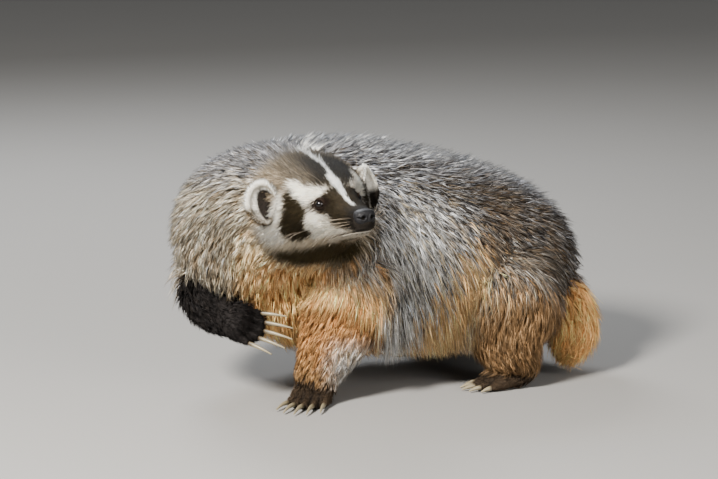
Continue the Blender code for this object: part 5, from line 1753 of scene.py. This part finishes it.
class Coat:
    """The coat's tufts, which stand on the skin and follow its lie."""

    # The steps of a clump's path, and how deep in the skin its tufts start.
    STEPS = 4
    SUNK = 0.0008
    # The lowest that any tuft may be, and that hanging tufts may be, with what chance adds.
    OFF_FLOOR = FLOOR + 0.0006
    LOWEST = (0.034, 0.006)
    # How far chance rolls a tuft, its height in shares of its width, and how its width changes where it bends.
    ROLL = 0.45
    HEIGHT = 0.7
    BENT_WIDTHS = (0.75, 1.0)

    def __init__(self, surface: SkinSurface, form: BodyForm, markings: Markings, chance: np.random.Generator) -> None:
        """Keeps the skin, ready to be searched.

        Args:
            surface: the body's skin.
            form: the body's form.
            markings: the coat's markings.
            chance: where the coat's random draws come from.
        """
        self.surface, self.form, self.markings, self.chance = surface, form, markings, chance
        vertices, triangles = surface.vertices, surface.triangles
        self.tree = BVHTree.FromPolygons(vertices.tolist(), triangles.tolist())
        self.area, self.facing = facings(vertices, triangles)
        third = np.full((len(triangles), 3), 1 / 3)
        self.middle = surface.fields.at(triangles, third)
        self.zone = self.zones()
        self.bare = self.bare_places()

    def zones(self) -> np.ndarray:
        """The number of the zone that each triangle belongs to."""
        middle, names = self.middle, [z.name for z in ZONES]
        region = middle.weights.argmax(axis=1)
        head = moved(head_matrix().inverted(), middle.points) * 1000.0
        turn, t = np.degrees(middle.angle[:, Region.TRUNK]), middle.t[:, Region.TRUNK]
        low, left, left_face = np.abs(turn), turn >= 0, head[:, 1] >= 0

        def sided(part: str, where: np.ndarray) -> np.ndarray:
            """The numbers of a part's two zones, the left one where it says."""
            return np.where(where, names.index(f"coat_{part}_left"), names.index(f"coat_{part}_right"))

        under = (low > 122) | ((low > 95) & (t > 5.4))
        on_head = region == Region.HEAD
        zone = sided("back", left)
        for where, number in (
            (low > 58, sided("flank", left)),
            (under, names.index("coat_chest")),
            ((t > 4.7) & ~under, sided("neck", left)),
            (on_head, sided("face", left_face)),
            (on_head & (-head[:, 0] > 130), sided("neck", left_face)),
            (np.isin(region, LEGS), names.index("coat_legs")),
            (np.isin(region, FOOT_REGIONS), names.index("coat_feet")),
            (region == Region.TAIL, names.index("coat_tail")),
        ):
            zone = np.where(where, number, zone)
        return zone

    def bare_places(self) -> np.ndarray:
        """How much of the coat each triangle carries: none on the eyes, mouth line, nose and soles."""
        points = self.middle.points
        keep = np.ones(len(points))
        for sign in (1, -1):
            local = moved(eye_matrix(sign).inverted(), points)
            keep *= smooth_step(0.0078, 0.0092, np.hypot(local[:, 0] / 1.1, local[:, 1]) + (local[:, 2] < -0.01))
            place = moved(ear_matrix(sign).inverted(), points) / EAR_INNER
            inside = (np.hypot(place[:, 1], place[:, 2]) < 0.84) & (np.abs(place[:, 0]) < 1.5)
            keep = np.where(inside, 0, keep)
        head = moved(head_matrix().inverted(), points)
        keep *= smooth_step(-0.0035, -0.0065, head[:, 0]) + (head[:, 2] < -0.0155)
        keep *= np.where((points[:, 2] < 0.0025) & (self.facing[:, 2] < -0.4), 0, 1)
        lips = (head[:, 0] > MOUTH_CORNER - 0.002) & (head[:, 2] < 0) & (np.abs(above_mouth(head)) < 0.0011)
        keep *= np.where(lips & (self.middle.weights[:, Region.HEAD] > 0.5), 0, 1)
        return np.clip(keep, 0, 1)

    def roots(self, zone: Zone) -> tuple:
        """The clumps of a zone, as triangles, shares of their corners, and fields there."""
        area = np.where(self.zone == ZONES.index(zone), self.area * self.bare, 0.0)
        if zone.name.startswith("coat_face"):
            back = -moved(head_matrix().inverted(), self.middle.points)[:, 0]
            area = area * np.interp(back, *FACE_DENSITY)
        picks = spread_picks(area, zone.clumps, self.chance)
        a, b = self.chance.random((2, zone.clumps))
        flip = a + b > 1
        a, b = np.where(flip, 1 - a, a), np.where(flip, 1 - b, b)
        shares = np.stack([1 - a - b, a, b], axis=1)
        return picks, shares, self.surface.fields.at(self.surface.triangles[picks], shares)

    def path(self, picks: np.ndarray, fields: Fields, zone: Zone) -> tuple:
        """Each clump's middle hair: places on the skin along the lie, and the way out of the skin there."""
        places, ways = [fields.points], [self.facing[picks]]
        noise = self.chance.normal(0, 0.16, (len(picks), 3)) * zone.stiff
        step = (fields.length * (1 + 0.14 * self.chance.normal(0, 1, len(picks))) / self.STEPS)[:, None]
        lie = fields.lie
        for _ in range(self.STEPS):
            normal = ways[-1]
            way = flattened(unit(lie + noise), normal)
            ahead = places[-1] + way * step
            found = [self.tree.find_nearest(p) for p in ahead.tolist()]
            places.append(np.array([f[0] for f in found]))
            at = np.array([f[2] for f in found])
            smoother = unit(self.surface.normals[self.surface.triangles[at]].mean(axis=1))
            ways.append(smoother)
            lie = self.middle.lie[at]
        return np.stack(places, axis=1), np.stack(ways, axis=1), step[:, 0] * self.STEPS

    def clump_lines(self, zone: Zone) -> tuple:
        """Each clump's middle hair in the air, with the way out along it, and its root's fields."""
        picks, _, fields = self.roots(zone)
        places, ways, length = self.path(picks, fields, zone)
        share = np.linspace(0, 1, self.STEPS + 1)
        rise = 1 - (1 - share) ** 1.7
        height = fields.depth * np.clip(0.95 + 0.16 * self.chance.normal(0, 1, len(picks)), 0.5, 1.35)
        line = places + ways * (height[:, None] * rise)[:, :, None]
        trunk = Region.TRUNK
        hang = smooth_step(1.25, 1.95, np.abs(fields.angle[:, trunk])) * smooth_step(0.4, 0.8, fields.weights[:, trunk])
        hang = hang * (1 - smooth_step(4.2, 5.2, fields.t[:, trunk]) * np.where(fields.angle[:, trunk] < 0, 1.0, 0.7))
        free = line[:, :1] + (share * 0.9)[None, :, None] * length[:, None, None] * np.array((0.0, 0.0, -1.0))
        free = free + ways[:, :1] * (0.8 * height[:, None] * rise)[:, :, None] + (places - places[:, :1]) * 0.25
        lowest = self.LOWEST[0] + self.LOWEST[1] * self.chance.random(len(picks))
        free[:, :, 2] = np.maximum(free[:, :, 2], lowest[:, None])
        line = line + (free - line) * (0.85 * hang)[:, None, None]
        return line, ways, fields

    def tufts(self, zone: Zone) -> Tufts:
        """All the tufts of a zone."""
        line, ways, fields = self.clump_lines(zone)
        count = zone.tufts
        rows = np.repeat(np.arange(len(line)), count)
        total = len(rows)
        chance = self.chance
        normal = ways[rows, 0]
        lie = flattened(fields.lie[rows], normal)
        side = np.cross(normal, lie)
        far = zone.spread * np.sqrt(chance.random(total))
        turn = chance.random(total) * 2 * math.pi
        offset = lie * (far * np.cos(turn))[:, None] + side * (far * np.sin(turn))[:, None]
        reach = np.clip(1 - 0.30 * chance.random(total) ** 1.5, 0.3, 1.0)
        shares = np.array(BENT_SHARES) if zone.bends else np.array((0.0, 1.0))
        u = reach[:, None] * shares[None] * self.STEPS
        low = np.minimum(u.astype(int), self.STEPS - 1)
        part = (u - low)[:, :, None]
        clump = line[rows]
        index = np.arange(total)[:, None]
        middle = clump[index, low] * (1 - part) + clump[index, low + 1] * part
        out = unit(ways[rows][index, low] * (1 - part) + ways[rows][index, low + 1] * part)
        drawn = 1 - zone.gather * shares**1.4
        frizz = chance.normal(0, 1, (total, len(shares), 3)) * (shares[None, :, None] ** 1.2)
        loose = fields.length[rows][:, None, None] * 0.035
        middle = middle + offset[:, None] * drawn[None, :, None] + frizz * loose
        middle[:, 0] -= normal * self.SUNK
        middle[:, :, 2] = np.maximum(middle[:, :, 2], self.OFF_FLOOR)
        width = zone.width * (0.75 + 0.5 * chance.random(total))
        ragged = np.repeat(chance.normal(0, 0.9, (len(line), 3)), count, axis=0)
        places = line[rows, 0] + offset
        full = Fields(places, fields.weights[rows], fields.t[rows], fields.angle[rows], fields.lie[rows],
                      fields.length[rows], fields.depth[rows])
        paint = self.markings.paint(full, places, ragged)
        region = fields.weights.argmax(axis=1)
        spot = np.arange(len(region))
        bake = atlas(region, fields.t[spot, region], fields.angle[spot, region])[rows]
        bake = bake + offset[:, :2] * 2
        grain = 0.7 * speckle(places, chance) + 0.7 * np.repeat(chance.normal(0, 1, len(line)), count)
        whitening = self.whitening(line[:, 0], fields, count)
        tones = whitening if zone.bends else np.ones(total)
        return Tufts(middle, out, width, coloured(paint, chance, grain), bake, tones)

    def whitening(self, roots: np.ndarray, fields: Fields, count: int) -> np.ndarray:
        """How far each tuft's colours go on towards its white tip, from the clumps' roots, fields and tufts."""
        chance = self.chance
        reach = 0.58 + 0.56 * chance.random(len(roots)) + 0.13 * speckle(roots, chance, 0.0085)
        t, low = fields.t[:, Region.TRUNK], np.abs(np.degrees(fields.angle[:, Region.TRUNK]))
        curtain = bell(t, 3.7, 0.7) * smooth_step(30, 70, low)
        reach *= 1 + (0.34 * curtain - 0.12 - 0.20 * smooth_step(3.4, 2.8, t)) * smooth_step(5.2, 4.6, t)
        reach -= 0.42 * curtain * (chance.random(len(roots)) < 0.34)
        return np.repeat(np.clip(reach, 0.40, 1.25), count) + chance.normal(0, 0.05, count * len(roots))

    @classmethod
    def mesh_of(cls, name: str, tufts: Tufts, chance: np.random.Generator) -> bpy.types.Mesh:
        """One mesh of closed tapered tufts, each of three sides."""
        line, out = tufts.line, tufts.out
        total, count = line.shape[:2]
        along = np.empty_like(line)
        along[:, 1:-1] = line[:, 2:] - line[:, :-2]
        along[:, 0] = line[:, 1] - line[:, 0]
        along[:, -1] = line[:, -1] - line[:, -2]
        along = unit(along)
        roll = chance.normal(0, cls.ROLL, total)[:, None, None]
        side = unit(np.cross(along, out))
        top = np.cross(side, along)
        side, top = side * np.cos(roll) + top * np.sin(roll), top * np.cos(roll) - side * np.sin(roll)
        shape = cls.BENT_WIDTHS if count == 3 else (1.0,)
        rings = count - 1
        vertices = np.zeros((total, rings * 3 + 1, 3))
        share = np.zeros((total, rings * 3 + 1))
        places = np.array(BENT_SHARES) if count == 3 else np.linspace(0, 1, count)
        across = np.zeros((rings * 3 + 1, 2))
        for ring in range(rings):
            half = (tufts.width * shape[ring] / 2)[:, None]
            centre = line[:, ring]
            vertices[:, ring * 3] = centre - side[:, ring] * half
            vertices[:, ring * 3 + 1] = centre + top[:, ring] * half * cls.HEIGHT
            vertices[:, ring * 3 + 2] = centre + side[:, ring] * half
            share[:, ring * 3: ring * 3 + 3] = places[ring]
            across[ring * 3: ring * 3 + 3] = ((-0.5, places[ring]), (0, places[ring]), (0.5, places[ring]))
        vertices[:, -1] = line[:, -1]
        share[:, -1] = 1.0
        across[-1] = (0, 1)
        last, size = (rings - 1) * 3, rings * 3 + 1
        ends = [(last + k, rings * 3, last + (k + 1) % 3) for k in range(3)]
        faces = np.concatenate([[(0, 1, 2)], ring_quads(rings, 3)[:, (0, 3, 1, 1, 3, 2)].reshape(-1, 3), ends])
        triangles = (faces[None] + (np.arange(total) * size)[:, None, None]).reshape(-1, 3)
        mesh = new_mesh(name, vertices.reshape(-1, 3), triangles)
        tip, under, band = tufts.colours
        put_hair(mesh, np.repeat(tip, size, axis=0), np.repeat(under, size, axis=0), np.repeat(band, size),
                 (share * tufts.whitening[:, None]).ravel())
        patch = (across - (0, 0.5)) * BAKE_PATCH
        places = tufts.bake[:, None, None] + patch[faces][None]
        put_map(mesh, BAKE_MAP, places.reshape(-1, 2))
        mesh.shade_smooth()
        return mesh

    def build(self, model: Model, material: bpy.types.Material) -> None:
        """Builds each zone's piece, and adds it."""
        for zone in ZONES:
            mesh = self.mesh_of(zone.name, self.tufts(zone), self.chance)
            model.add(zone.name, mesh, material, zone.slot)


@dataclass
class EarCoat:
    """The short dense hair of the ears: pale at the rim, dark inside and behind, where shade is painted."""

    skin: Skin
    chance: np.random.Generator
    clumps: int = 4600
    tufts: int = 2
    length: float = 0.0056
    width: float = 0.00062
    sunk: float = 0.0004
    loose: float = 0.18
    rim_more: float = 1.5
    dark_share: float = 0.25

    def build(self, model: Model, material: bpy.types.Material) -> None:
        """Builds each ear's coat, and adds it."""
        for sign, name in ((1, "coat_ear_left"), (-1, "coat_ear_right")):
            model.add(name, Coat.mesh_of(name, self.grown(sign), self.chance), material, "ear_coat")

    def density(self, sign: int, places: np.ndarray, inside: np.ndarray) -> np.ndarray:
        """How closely the tufts stand on each triangle: more by the rim, and few where painted shade darkens the
        inside.
        """
        dark = self.skin.markings.ear(sign, places.mean(axis=1), inside).tip[:, 0] < 0.3
        rim = np.hypot(places[:, :, 1], places[:, :, 2]).mean(axis=1)
        share = 0.6 + self.rim_more * smooth_step(0.7, 0.95, rim)
        return share * np.where(dark & (inside > 0.5), self.dark_share, 1.0)

    def grown(self, sign: int) -> Tufts:
        """The tufts of one ear."""
        points, faces, places, inner = self.skin.ear(sign)
        area, facing = facings(points, faces)
        area = area * self.density(sign, places[faces], inner[faces].mean(axis=1))
        picks = np.repeat(spread_picks(area, self.clumps, self.chance), self.tufts)
        count, normal = len(picks), facing[picks]
        share = self.chance.dirichlet((1, 1, 1), count)
        root = np.einsum("nk,nki->ni", share, points[faces[picks]])
        place = np.einsum("nk,nki->ni", share, places[faces[picks]])
        deep = np.einsum("nk,nk->n", share, inner[faces[picks]])
        front = np.clip(-sign * place[:, 1:2], 0, 1) * (deep[:, None] > 0.5)
        radial = unit(place * np.array((0.0, 1.0, 1.0))) * (1 - 0.7 * front) + np.array((0.30, 0.0, 0.35))
        turn = np.array(ear_matrix(sign))[:3, :3].T
        way = unit(radial @ turn + self.chance.normal(0, self.loose, (count, 3)))
        rise = (way * normal).sum(axis=1, keepdims=True)
        way = unit(way - normal * rise + normal * np.maximum(rise * 0.6, 0.30))
        long = self.length * (0.7 + 0.5 * self.chance.random(count)) * (1 + 0.4 * front[:, 0])
        line = np.stack([root - normal * self.sunk, root + way * long[:, None]], axis=1)
        paint = self.skin.markings.ear(sign, place, np.where(deep > 0.55, 1.0, 0.0))
        colours = coloured(paint, self.chance, self.chance.normal(0, 1, count))
        return Tufts(line, np.stack([normal, normal], axis=1), np.full(count, self.width), colours,
                     ear_atlas(sign, place, deep), np.ones(count))


@dataclass
class Eyes:
    """The two wet eyes, each with a raised cornea."""

    finish: EyeFinish = EyeFinish()
    rings: int = 40
    sides: int = 56
    cornea: float = 0.00008
    inset: float = 0.0001
    iris_edge: float = 1.15

    def build(self, model: Model) -> None:
        """Builds both eyes, and adds them."""
        material = self.finish.build()
        tilts = np.linspace(0, math.pi, self.rings + 1)[1:-1]
        tilt, turn = np.repeat(tilts, self.sides), np.tile(turns(self.sides), len(tilts))
        radius = EYE_RADIUS - self.inset
        ring = np.stack([np.sin(tilt) * np.cos(turn), np.sin(tilt) * np.sin(turn), np.cos(tilt)], axis=1)
        ring = ring * (radius + self.cornea * np.exp(-((tilt / 0.55) ** 4)))[:, None]
        local = np.concatenate([ring, [(0, 0, radius + self.cornea)], [(0, 0, -radius)]])
        for sign, name in ((1, "eye_left"), (-1, "eye_right")):
            mesh = new_mesh(name, moved(eye_matrix(sign), local), closed_rings(len(tilts), self.sides))
            put_value(mesh, "from_pupil", np.concatenate([tilt / self.iris_edge, [0], [2.7]]))
            mesh.shade_smooth()
            model.add(f"eye_ball_{name[4:]}", mesh, material, "eye", (name,))


@dataclass
class NosePad:
    """The damp pad of the nose, with comma nostrils and the groove between them."""

    finish: NoseFinish = NoseFinish()
    sides: int = 96
    sections: tuple = (
        (-0.0150, -0.0040, 0.0080, 0.0060), (-0.0090, -0.0040, 0.0116, 0.0084), (-0.0030, -0.0046, 0.0118, 0.0086),
        (0.0008, -0.0052, 0.0098, 0.0072), (0.0025, -0.0056, 0.0055, 0.0042),
    )
    nostril: tuple = (0.0058, -0.0050)
    rings: int = 40
    cap: tuple = (0.97, 0.90, 0.80, 0.68, 0.55, 0.42, 0.30, 0.18, 0.08)

    def build(self, model: Model) -> None:
        """Builds the pad, and adds it."""
        tube = Tube(tuple(Section((x, 0, z), wide, high, 0.0) for x, z, wide, high in self.sections), squareness=2.5)
        turn = turns(self.sides)
        rings = [tube.points(np.full(self.sides, t), turn) for t in np.linspace(0, tube.last, self.rings)]
        edge, middle = rings[-1], rings[-1].mean(axis=0)
        for share in self.cap:
            ring = middle + (edge - middle) * share
            ring[:, 0] += 0.0007 * (1 - share**2)
            rings.append(ring)
        ends = [[rings[0].mean(axis=0)], [rings[-1].mean(axis=0) + np.array((0.00002, 0, 0))]]
        local, hollow_shade = self.carved(np.concatenate(rings + ends))
        mesh = new_mesh("nose_pad", moved(head_matrix(), local), closed_rings(len(rings), self.sides, flipped=True))
        shape = bmesh.new()
        shape.from_mesh(mesh)
        bmesh.ops.recalc_face_normals(shape, faces=shape.faces)
        put_value(mesh_from(shape, mesh), "hollow_shade", hollow_shade)
        mesh.shade_smooth()
        model.add("nose_pad", mesh, self.finish.build(), "nose_skin", ("nose",))

    def carved(self, local: np.ndarray) -> tuple:
        """The pad's places with its nostrils and groove pressed in, and how much painted shade each place takes inside
        them.
        """
        # How much painted shade each place takes, in the nostrils and the groove.
        hollow_shade = np.zeros(len(local))
        push = np.zeros((len(local), 3))
        front = smooth_step(-0.012, -0.004, local[:, 0])
        for sign in (1, -1):
            y, z = local[:, 1] * sign, local[:, 2]
            hole = np.hypot((y - self.nostril[0] + 0.0006) / 0.0023, (z - self.nostril[1]) / 0.0022)
            slit_y = y - self.nostril[0] - 0.0030
            slit = np.hypot(slit_y / 0.0030, (z - self.nostril[1] - 0.0004 - 0.20 * slit_y) / 0.0009)
            deep = np.maximum(1 - smooth_step(0.55, 1.15, hole), 0.75 * (1 - smooth_step(0.5, 1.1, slit))) * front
            deep = deep * (y > 0)
            hollow_shade = np.maximum(hollow_shade, deep)
            push += deep[:, None] * np.array((-0.0042, -0.0008 * sign, 0.0))
            rim = bell(hole, 1.45, 0.28) * front * (y > 0)
            push += rim[:, None] * np.array((0.0004, 0.0001 * sign, 0.0))
        groove = bell(local[:, 1], 0, 0.00055) * front * smooth_step(-0.002, -0.006, local[:, 2])
        push += groove[:, None] * np.array((-0.0008, 0, 0))
        return local + push, np.maximum(hollow_shade, 0.6 * groove)


@dataclass
class Claws:
    """The long pale claws of each foot."""

    finish: HornFinish = HornFinish()
    rings: int = 18
    sides: int = 14

    def claw(self, tip: Vector, start: Vector, back: Vector, length: float, bend: float) -> tuple:
        """One claw, as vertices, faces and how far along it each vertex is."""
        side = back.cross(start).normalized()
        centre, points, along = tip + start * 0.0003, [], []
        for ring in range(self.rings):
            u = ring / self.rings
            way = Matrix.Rotation(bend * u, 3, side) @ start
            up = way.cross(side).normalized() * -1
            radius = CLAW_TIP_RADIUS + (CLAW_RADIUS - CLAW_TIP_RADIUS) * (1 - u) ** CLAW_TAPER
            for k in range(self.sides):
                turn = 2 * math.pi * k / self.sides
                high = math.cos(turn)
                flat = 0.82 if high < 0 else 1.0
                points.append(tuple(centre + side * (CLAW_NARROW * radius * math.sin(turn) * (1 - 0.12 * (high < -0.5)))
                                    + up * (radius * high * flat)))
                along.append(u)
            middle = Matrix.Rotation(bend * (u + 0.5 / self.rings), 3, side) @ start
            centre = centre + middle * (length / self.rings)
        faces = [tuple(range(self.sides))] + ring_quads(self.rings, self.sides).tolist()
        points.append(tuple(centre))
        along.append(1.0)
        end = (self.rings - 1) * self.sides
        faces += [(end + k, end + (k + 1) % self.sides, len(points) - 1) for k in range(self.sides)]
        return points, faces, along

    def build(self, model: Model) -> None:
        """Builds each foot's claws as one piece, and adds it."""
        material = self.finish.build()
        for foot in FEET:
            solids, along = [], []
            for _, tip, _, start, back, length in foot.toes():
                points, faces, shares = self.claw(tip, start, back, length, foot.bend)
                solids.append((points, faces))
                along += shares
            mesh = joined_solids(solids)
            co = np.array([v.co for v in mesh.vertices])
            co[:, 2] = np.maximum(co[:, 2], FLOOR)
            mesh.vertices.foreach_set("co", co.astype(np.float32).ravel())
            put_value(mesh, "along", np.array(along))
            mesh.shade_smooth()
            nodes = tuple(f"{foot.name}_claw_{n}" for n in range(1, TOES + 1))
            model.add(f"claws_{foot.name}", mesh, material, "claw_horn", nodes)


@dataclass
class Whiskers:
    """The stiff whiskers of the muzzle, and the bristles over each eye, made by Geometry Nodes."""

    surface: SkinSurface
    length: float = 0.034
    radius: float = 0.00013
    bend: float = 0.20
    seed: int = 5
    sunk: float = 0.0006

    def tree(self, material: bpy.types.Material) -> bpy.types.NodeTree:
        """The node tree: one bent tapered bristle on each point, along the point's aim."""
        tree = bpy.data.node_groups.new("whiskers", "GeometryNodeTree")
        face = tree.interface
        face.new_socket("Geometry", in_out="INPUT", socket_type="NodeSocketGeometry")
        number = "NodeSocketFloat"
        for label, kind, value in (("Length", number, self.length), ("Radius", number, self.radius),
                                   ("Bend", number, self.bend), ("Seed", "NodeSocketInt", self.seed)):
            face.new_socket(label, in_out="INPUT", socket_type=kind).default_value = value
        face.new_socket("Geometry", in_out="OUTPUT", socket_type="NodeSocketGeometry")
        start, end = tree.nodes.new("NodeGroupInput"), tree.nodes.new("NodeGroupOutput")

        def node(kind: str, values: dict, **settings: object) -> bpy.types.Node:
            """Adds a node to this tree."""
            return make_node(tree, kind, values, **settings)

        given = start.outputs
        sag = math_node(tree, "MULTIPLY", given["Length"], given["Bend"])
        half = math_node(tree, "MULTIPLY", given["Length"], 0.55)
        less = math_node(tree, "MULTIPLY", sag, -1.0)
        middle = node("ShaderNodeCombineXYZ", {"X": math_node(tree, "MULTIPLY", sag, 0.35), "Z": half}).outputs[0]
        tip = node("ShaderNodeCombineXYZ", {"X": less, "Z": given["Length"]}).outputs[0]
        curve = node("GeometryNodeCurveQuadraticBezier",
                     {"Resolution": 6, "Start": (0, 0, 0), "Middle": middle, "End": tip})
        place = tree.nodes.new("GeometryNodeSplineParameter").outputs["Factor"]
        taper = ramp(tree, place, (0, 1), 1.0, 0.12, soft=False)
        thick = node("GeometryNodeSetCurveRadius", {"Curve": curve.outputs[0], "Radius": taper})
        ring = node("GeometryNodeCurvePrimitiveCircle", {"Resolution": 4, "Radius": given["Radius"]})
        body = node("GeometryNodeCurveToMesh",
                    {"Curve": thick.outputs[0], "Profile Curve": ring.outputs[0], "Fill Caps": True})
        aim = node("GeometryNodeInputNamedAttribute", {"Name": "aim"}, data_type="FLOAT_VECTOR")
        turn = node("FunctionNodeAlignRotationToVector", {"Vector": aim.outputs[0]}, axis="Z")
        scale = node("FunctionNodeRandomValue", {2: 0.45, 3: 1.1, "Seed": given["Seed"]}, data_type="FLOAT")
        placed = node("GeometryNodeInstanceOnPoints", {"Points": given["Geometry"], "Instance": body.outputs[0],
                                                       "Rotation": turn.outputs[0], "Scale": scale.outputs[1]})
        solid = node("GeometryNodeRealizeInstances", {0: placed.outputs[0]})
        dressed = node("GeometryNodeSetMaterial", {"Geometry": solid.outputs[0], "Material": material})
        tree.links.new(dressed.outputs[0], end.inputs[0])
        return tree

    def places(self) -> tuple:
        """The whiskers' roots and the ways they point, in the head's frame first."""
        chance = np.random.default_rng(self.seed)
        roots, aims = [], []
        for sign in (1, -1):
            for row in range(5):
                for k in range(6):
                    back = -0.010 - 0.0040 * k + chance.normal(0, 0.0006)
                    height = -0.0045 - 0.0026 * row + chance.normal(0, 0.0004)
                    roots.append((back, sign * 0.05, height))
                    aims.append((-0.25 - 0.10 * k, sign * 1.0, 0.18 - 0.16 * row))
            for k in range(5):
                roots.append((-0.0560 + 0.0016 * k, sign * 0.06, 0.0245 + 0.0005 * k))
                aims.append((-0.15, sign * 0.55, 1.0))
            for k in range(4):
                roots.append((-0.070 - 0.003 * k, sign * 0.08, -0.012))
                aims.append((-0.4, sign * 1.0, -0.25))
        return np.array(roots), np.array(aims, float)

    def build(self, model: Model) -> None:
        """Builds the whiskers, and adds them."""
        material, _, shader = new_material("whisker", Roughness=0.45)
        shader.inputs["Base Color"].default_value = (*shade(120, 108, 92), 1)
        roots, aims = self.places()
        tree = BVHTree.FromPolygons(self.surface.vertices.tolist(), self.surface.triangles.tolist())
        matrix = head_matrix()
        turn = np.array(matrix)[:3, :3].T
        points, ways = [], []
        for root, aim in zip(roots, aims):
            start = matrix @ Vector(root)
            inward = matrix.to_3x3() @ Vector((0, -math.copysign(1, root[1]), 0))
            hit = tree.ray_cast(start, inward)[0]
            if hit is not None:
                points.append(tuple(hit + inward * self.sunk))
                ways.append(np.array(aim) @ turn)
        mesh = bpy.data.meshes.new("roots")
        mesh.from_pydata(points, [], [])
        aim = mesh.attributes.new("aim", "FLOAT_VECTOR", "POINT")
        aim.data.foreach_set("vector", np.array(ways, np.float32).ravel())
        obj = put_object("whisker_roots", mesh)
        modifier = obj.modifiers.new("whiskers", "NODES")
        modifier.node_group = self.tree(material)
        made = evaluated(obj)
        obj.modifiers.clear()
        bpy.data.objects.remove(obj)
        made.shade_smooth()
        model.add("whiskers", made, material, "face_coat")


@dataclass(frozen=True)
class Lamp:
    """One soft round light that shines at the animal."""

    name: str
    place: tuple
    size: float
    power: float
    colour: tuple


@dataclass
class Studio:
    """The floor, the soft lights and the camera."""

    shift: Vector
    scale: float = 0.00113
    image_width: int = 718
    distance: float = 3.5
    rise: float = math.radians(10.0)
    target: tuple = (0.0, 0.0, 0.168)
    sensor: float = 36.0
    lit: tuple = (0.0, 0.0, 0.15)
    lamps: tuple = (
        Lamp("key", (-1.15, -2.05, 1.70), 0.6, 330.0, (1.0, 0.965, 0.91)),
        Lamp("rim", (-0.7, 1.7, 1.7), 0.9, 60.0, (0.93, 0.96, 1.0)),
        Lamp("fill", (1.7, -2.1, 1.0), 1.6, 60.0, (1.0, 0.97, 0.94)),
    )
    sky: tuple = (0.74, 0.77, 0.80, 1)
    sky_strength: float = 0.27
    floor_radius: float = 14.0

    def camera(self) -> None:
        """Sets the camera at the photo's angle."""
        camera = put_object("camera", bpy.data.cameras.new("camera"))
        camera.data.sensor_width = self.sensor
        camera.data.lens = self.sensor * self.distance / (self.image_width * self.scale)
        camera.data.clip_end = 60.0
        back = Vector((0.0, -math.cos(self.rise), math.sin(self.rise)))
        camera.location = Vector(self.target) + self.shift + back * self.distance
        camera.rotation_euler = (-back).to_track_quat("-Z", "Y").to_euler()
        bpy.context.scene.camera = camera

    def light(self, lamp: Lamp) -> None:
        """Adds a lamp."""
        data = bpy.data.lights.new(lamp.name, "AREA")
        data.shape, data.size, data.energy, data.color = "DISK", lamp.size, lamp.power, lamp.colour
        obj = put_object(lamp.name, data)
        obj.location = lamp.place
        obj.rotation_euler = (Vector(self.lit) - Vector(lamp.place)).to_track_quat("-Z", "Y").to_euler()

    def build(self) -> None:
        """Builds the floor, lights and camera."""
        shape = bmesh.new()
        bmesh.ops.create_circle(shape, cap_ends=True, segments=96, radius=self.floor_radius)
        floor = put_object("studio_floor", mesh_from(shape, bpy.data.meshes.new("floor")))
        floor.data.materials.append(FloorFinish().build())
        for lamp in self.lamps:
            self.light(lamp)
        world = bpy.data.worlds.new("studio")
        world.use_nodes = True
        background = world.node_tree.nodes["Background"]
        background.inputs["Color"].default_value = self.sky
        background.inputs["Strength"].default_value = self.sky_strength
        bpy.context.scene.world = world
        self.camera()


FLESH = ("torso", "neck", "head", "ear_left", "ear_right", "tail", "foreleg_left", "foreleg_right", "hindleg_left",
         "hindleg_right")


def main() -> None:
    """Builds the animal's looks."""
    logging.basicConfig(level=logging.INFO, format="%(message)s")
    model = Model()
    groups = SharedGroups()
    form, markings = BodyForm(), Markings()
    skin = Skin(form, markings)
    surface = skin.build(model, SkinFinish().build(groups), FLESH)
    hair = CoatFinish().build(groups)
    chance = np.random.default_rng(SEED)
    Coat(surface, form, markings, chance).build(model, hair)
    EarCoat(skin, chance).build(model, hair)
    Eyes().build(model)
    NosePad().build(model)
    Claws().build(model)
    Whiskers(surface).build(model)
    Studio(model.shift).build()


if __name__ == "__main__":
    main()
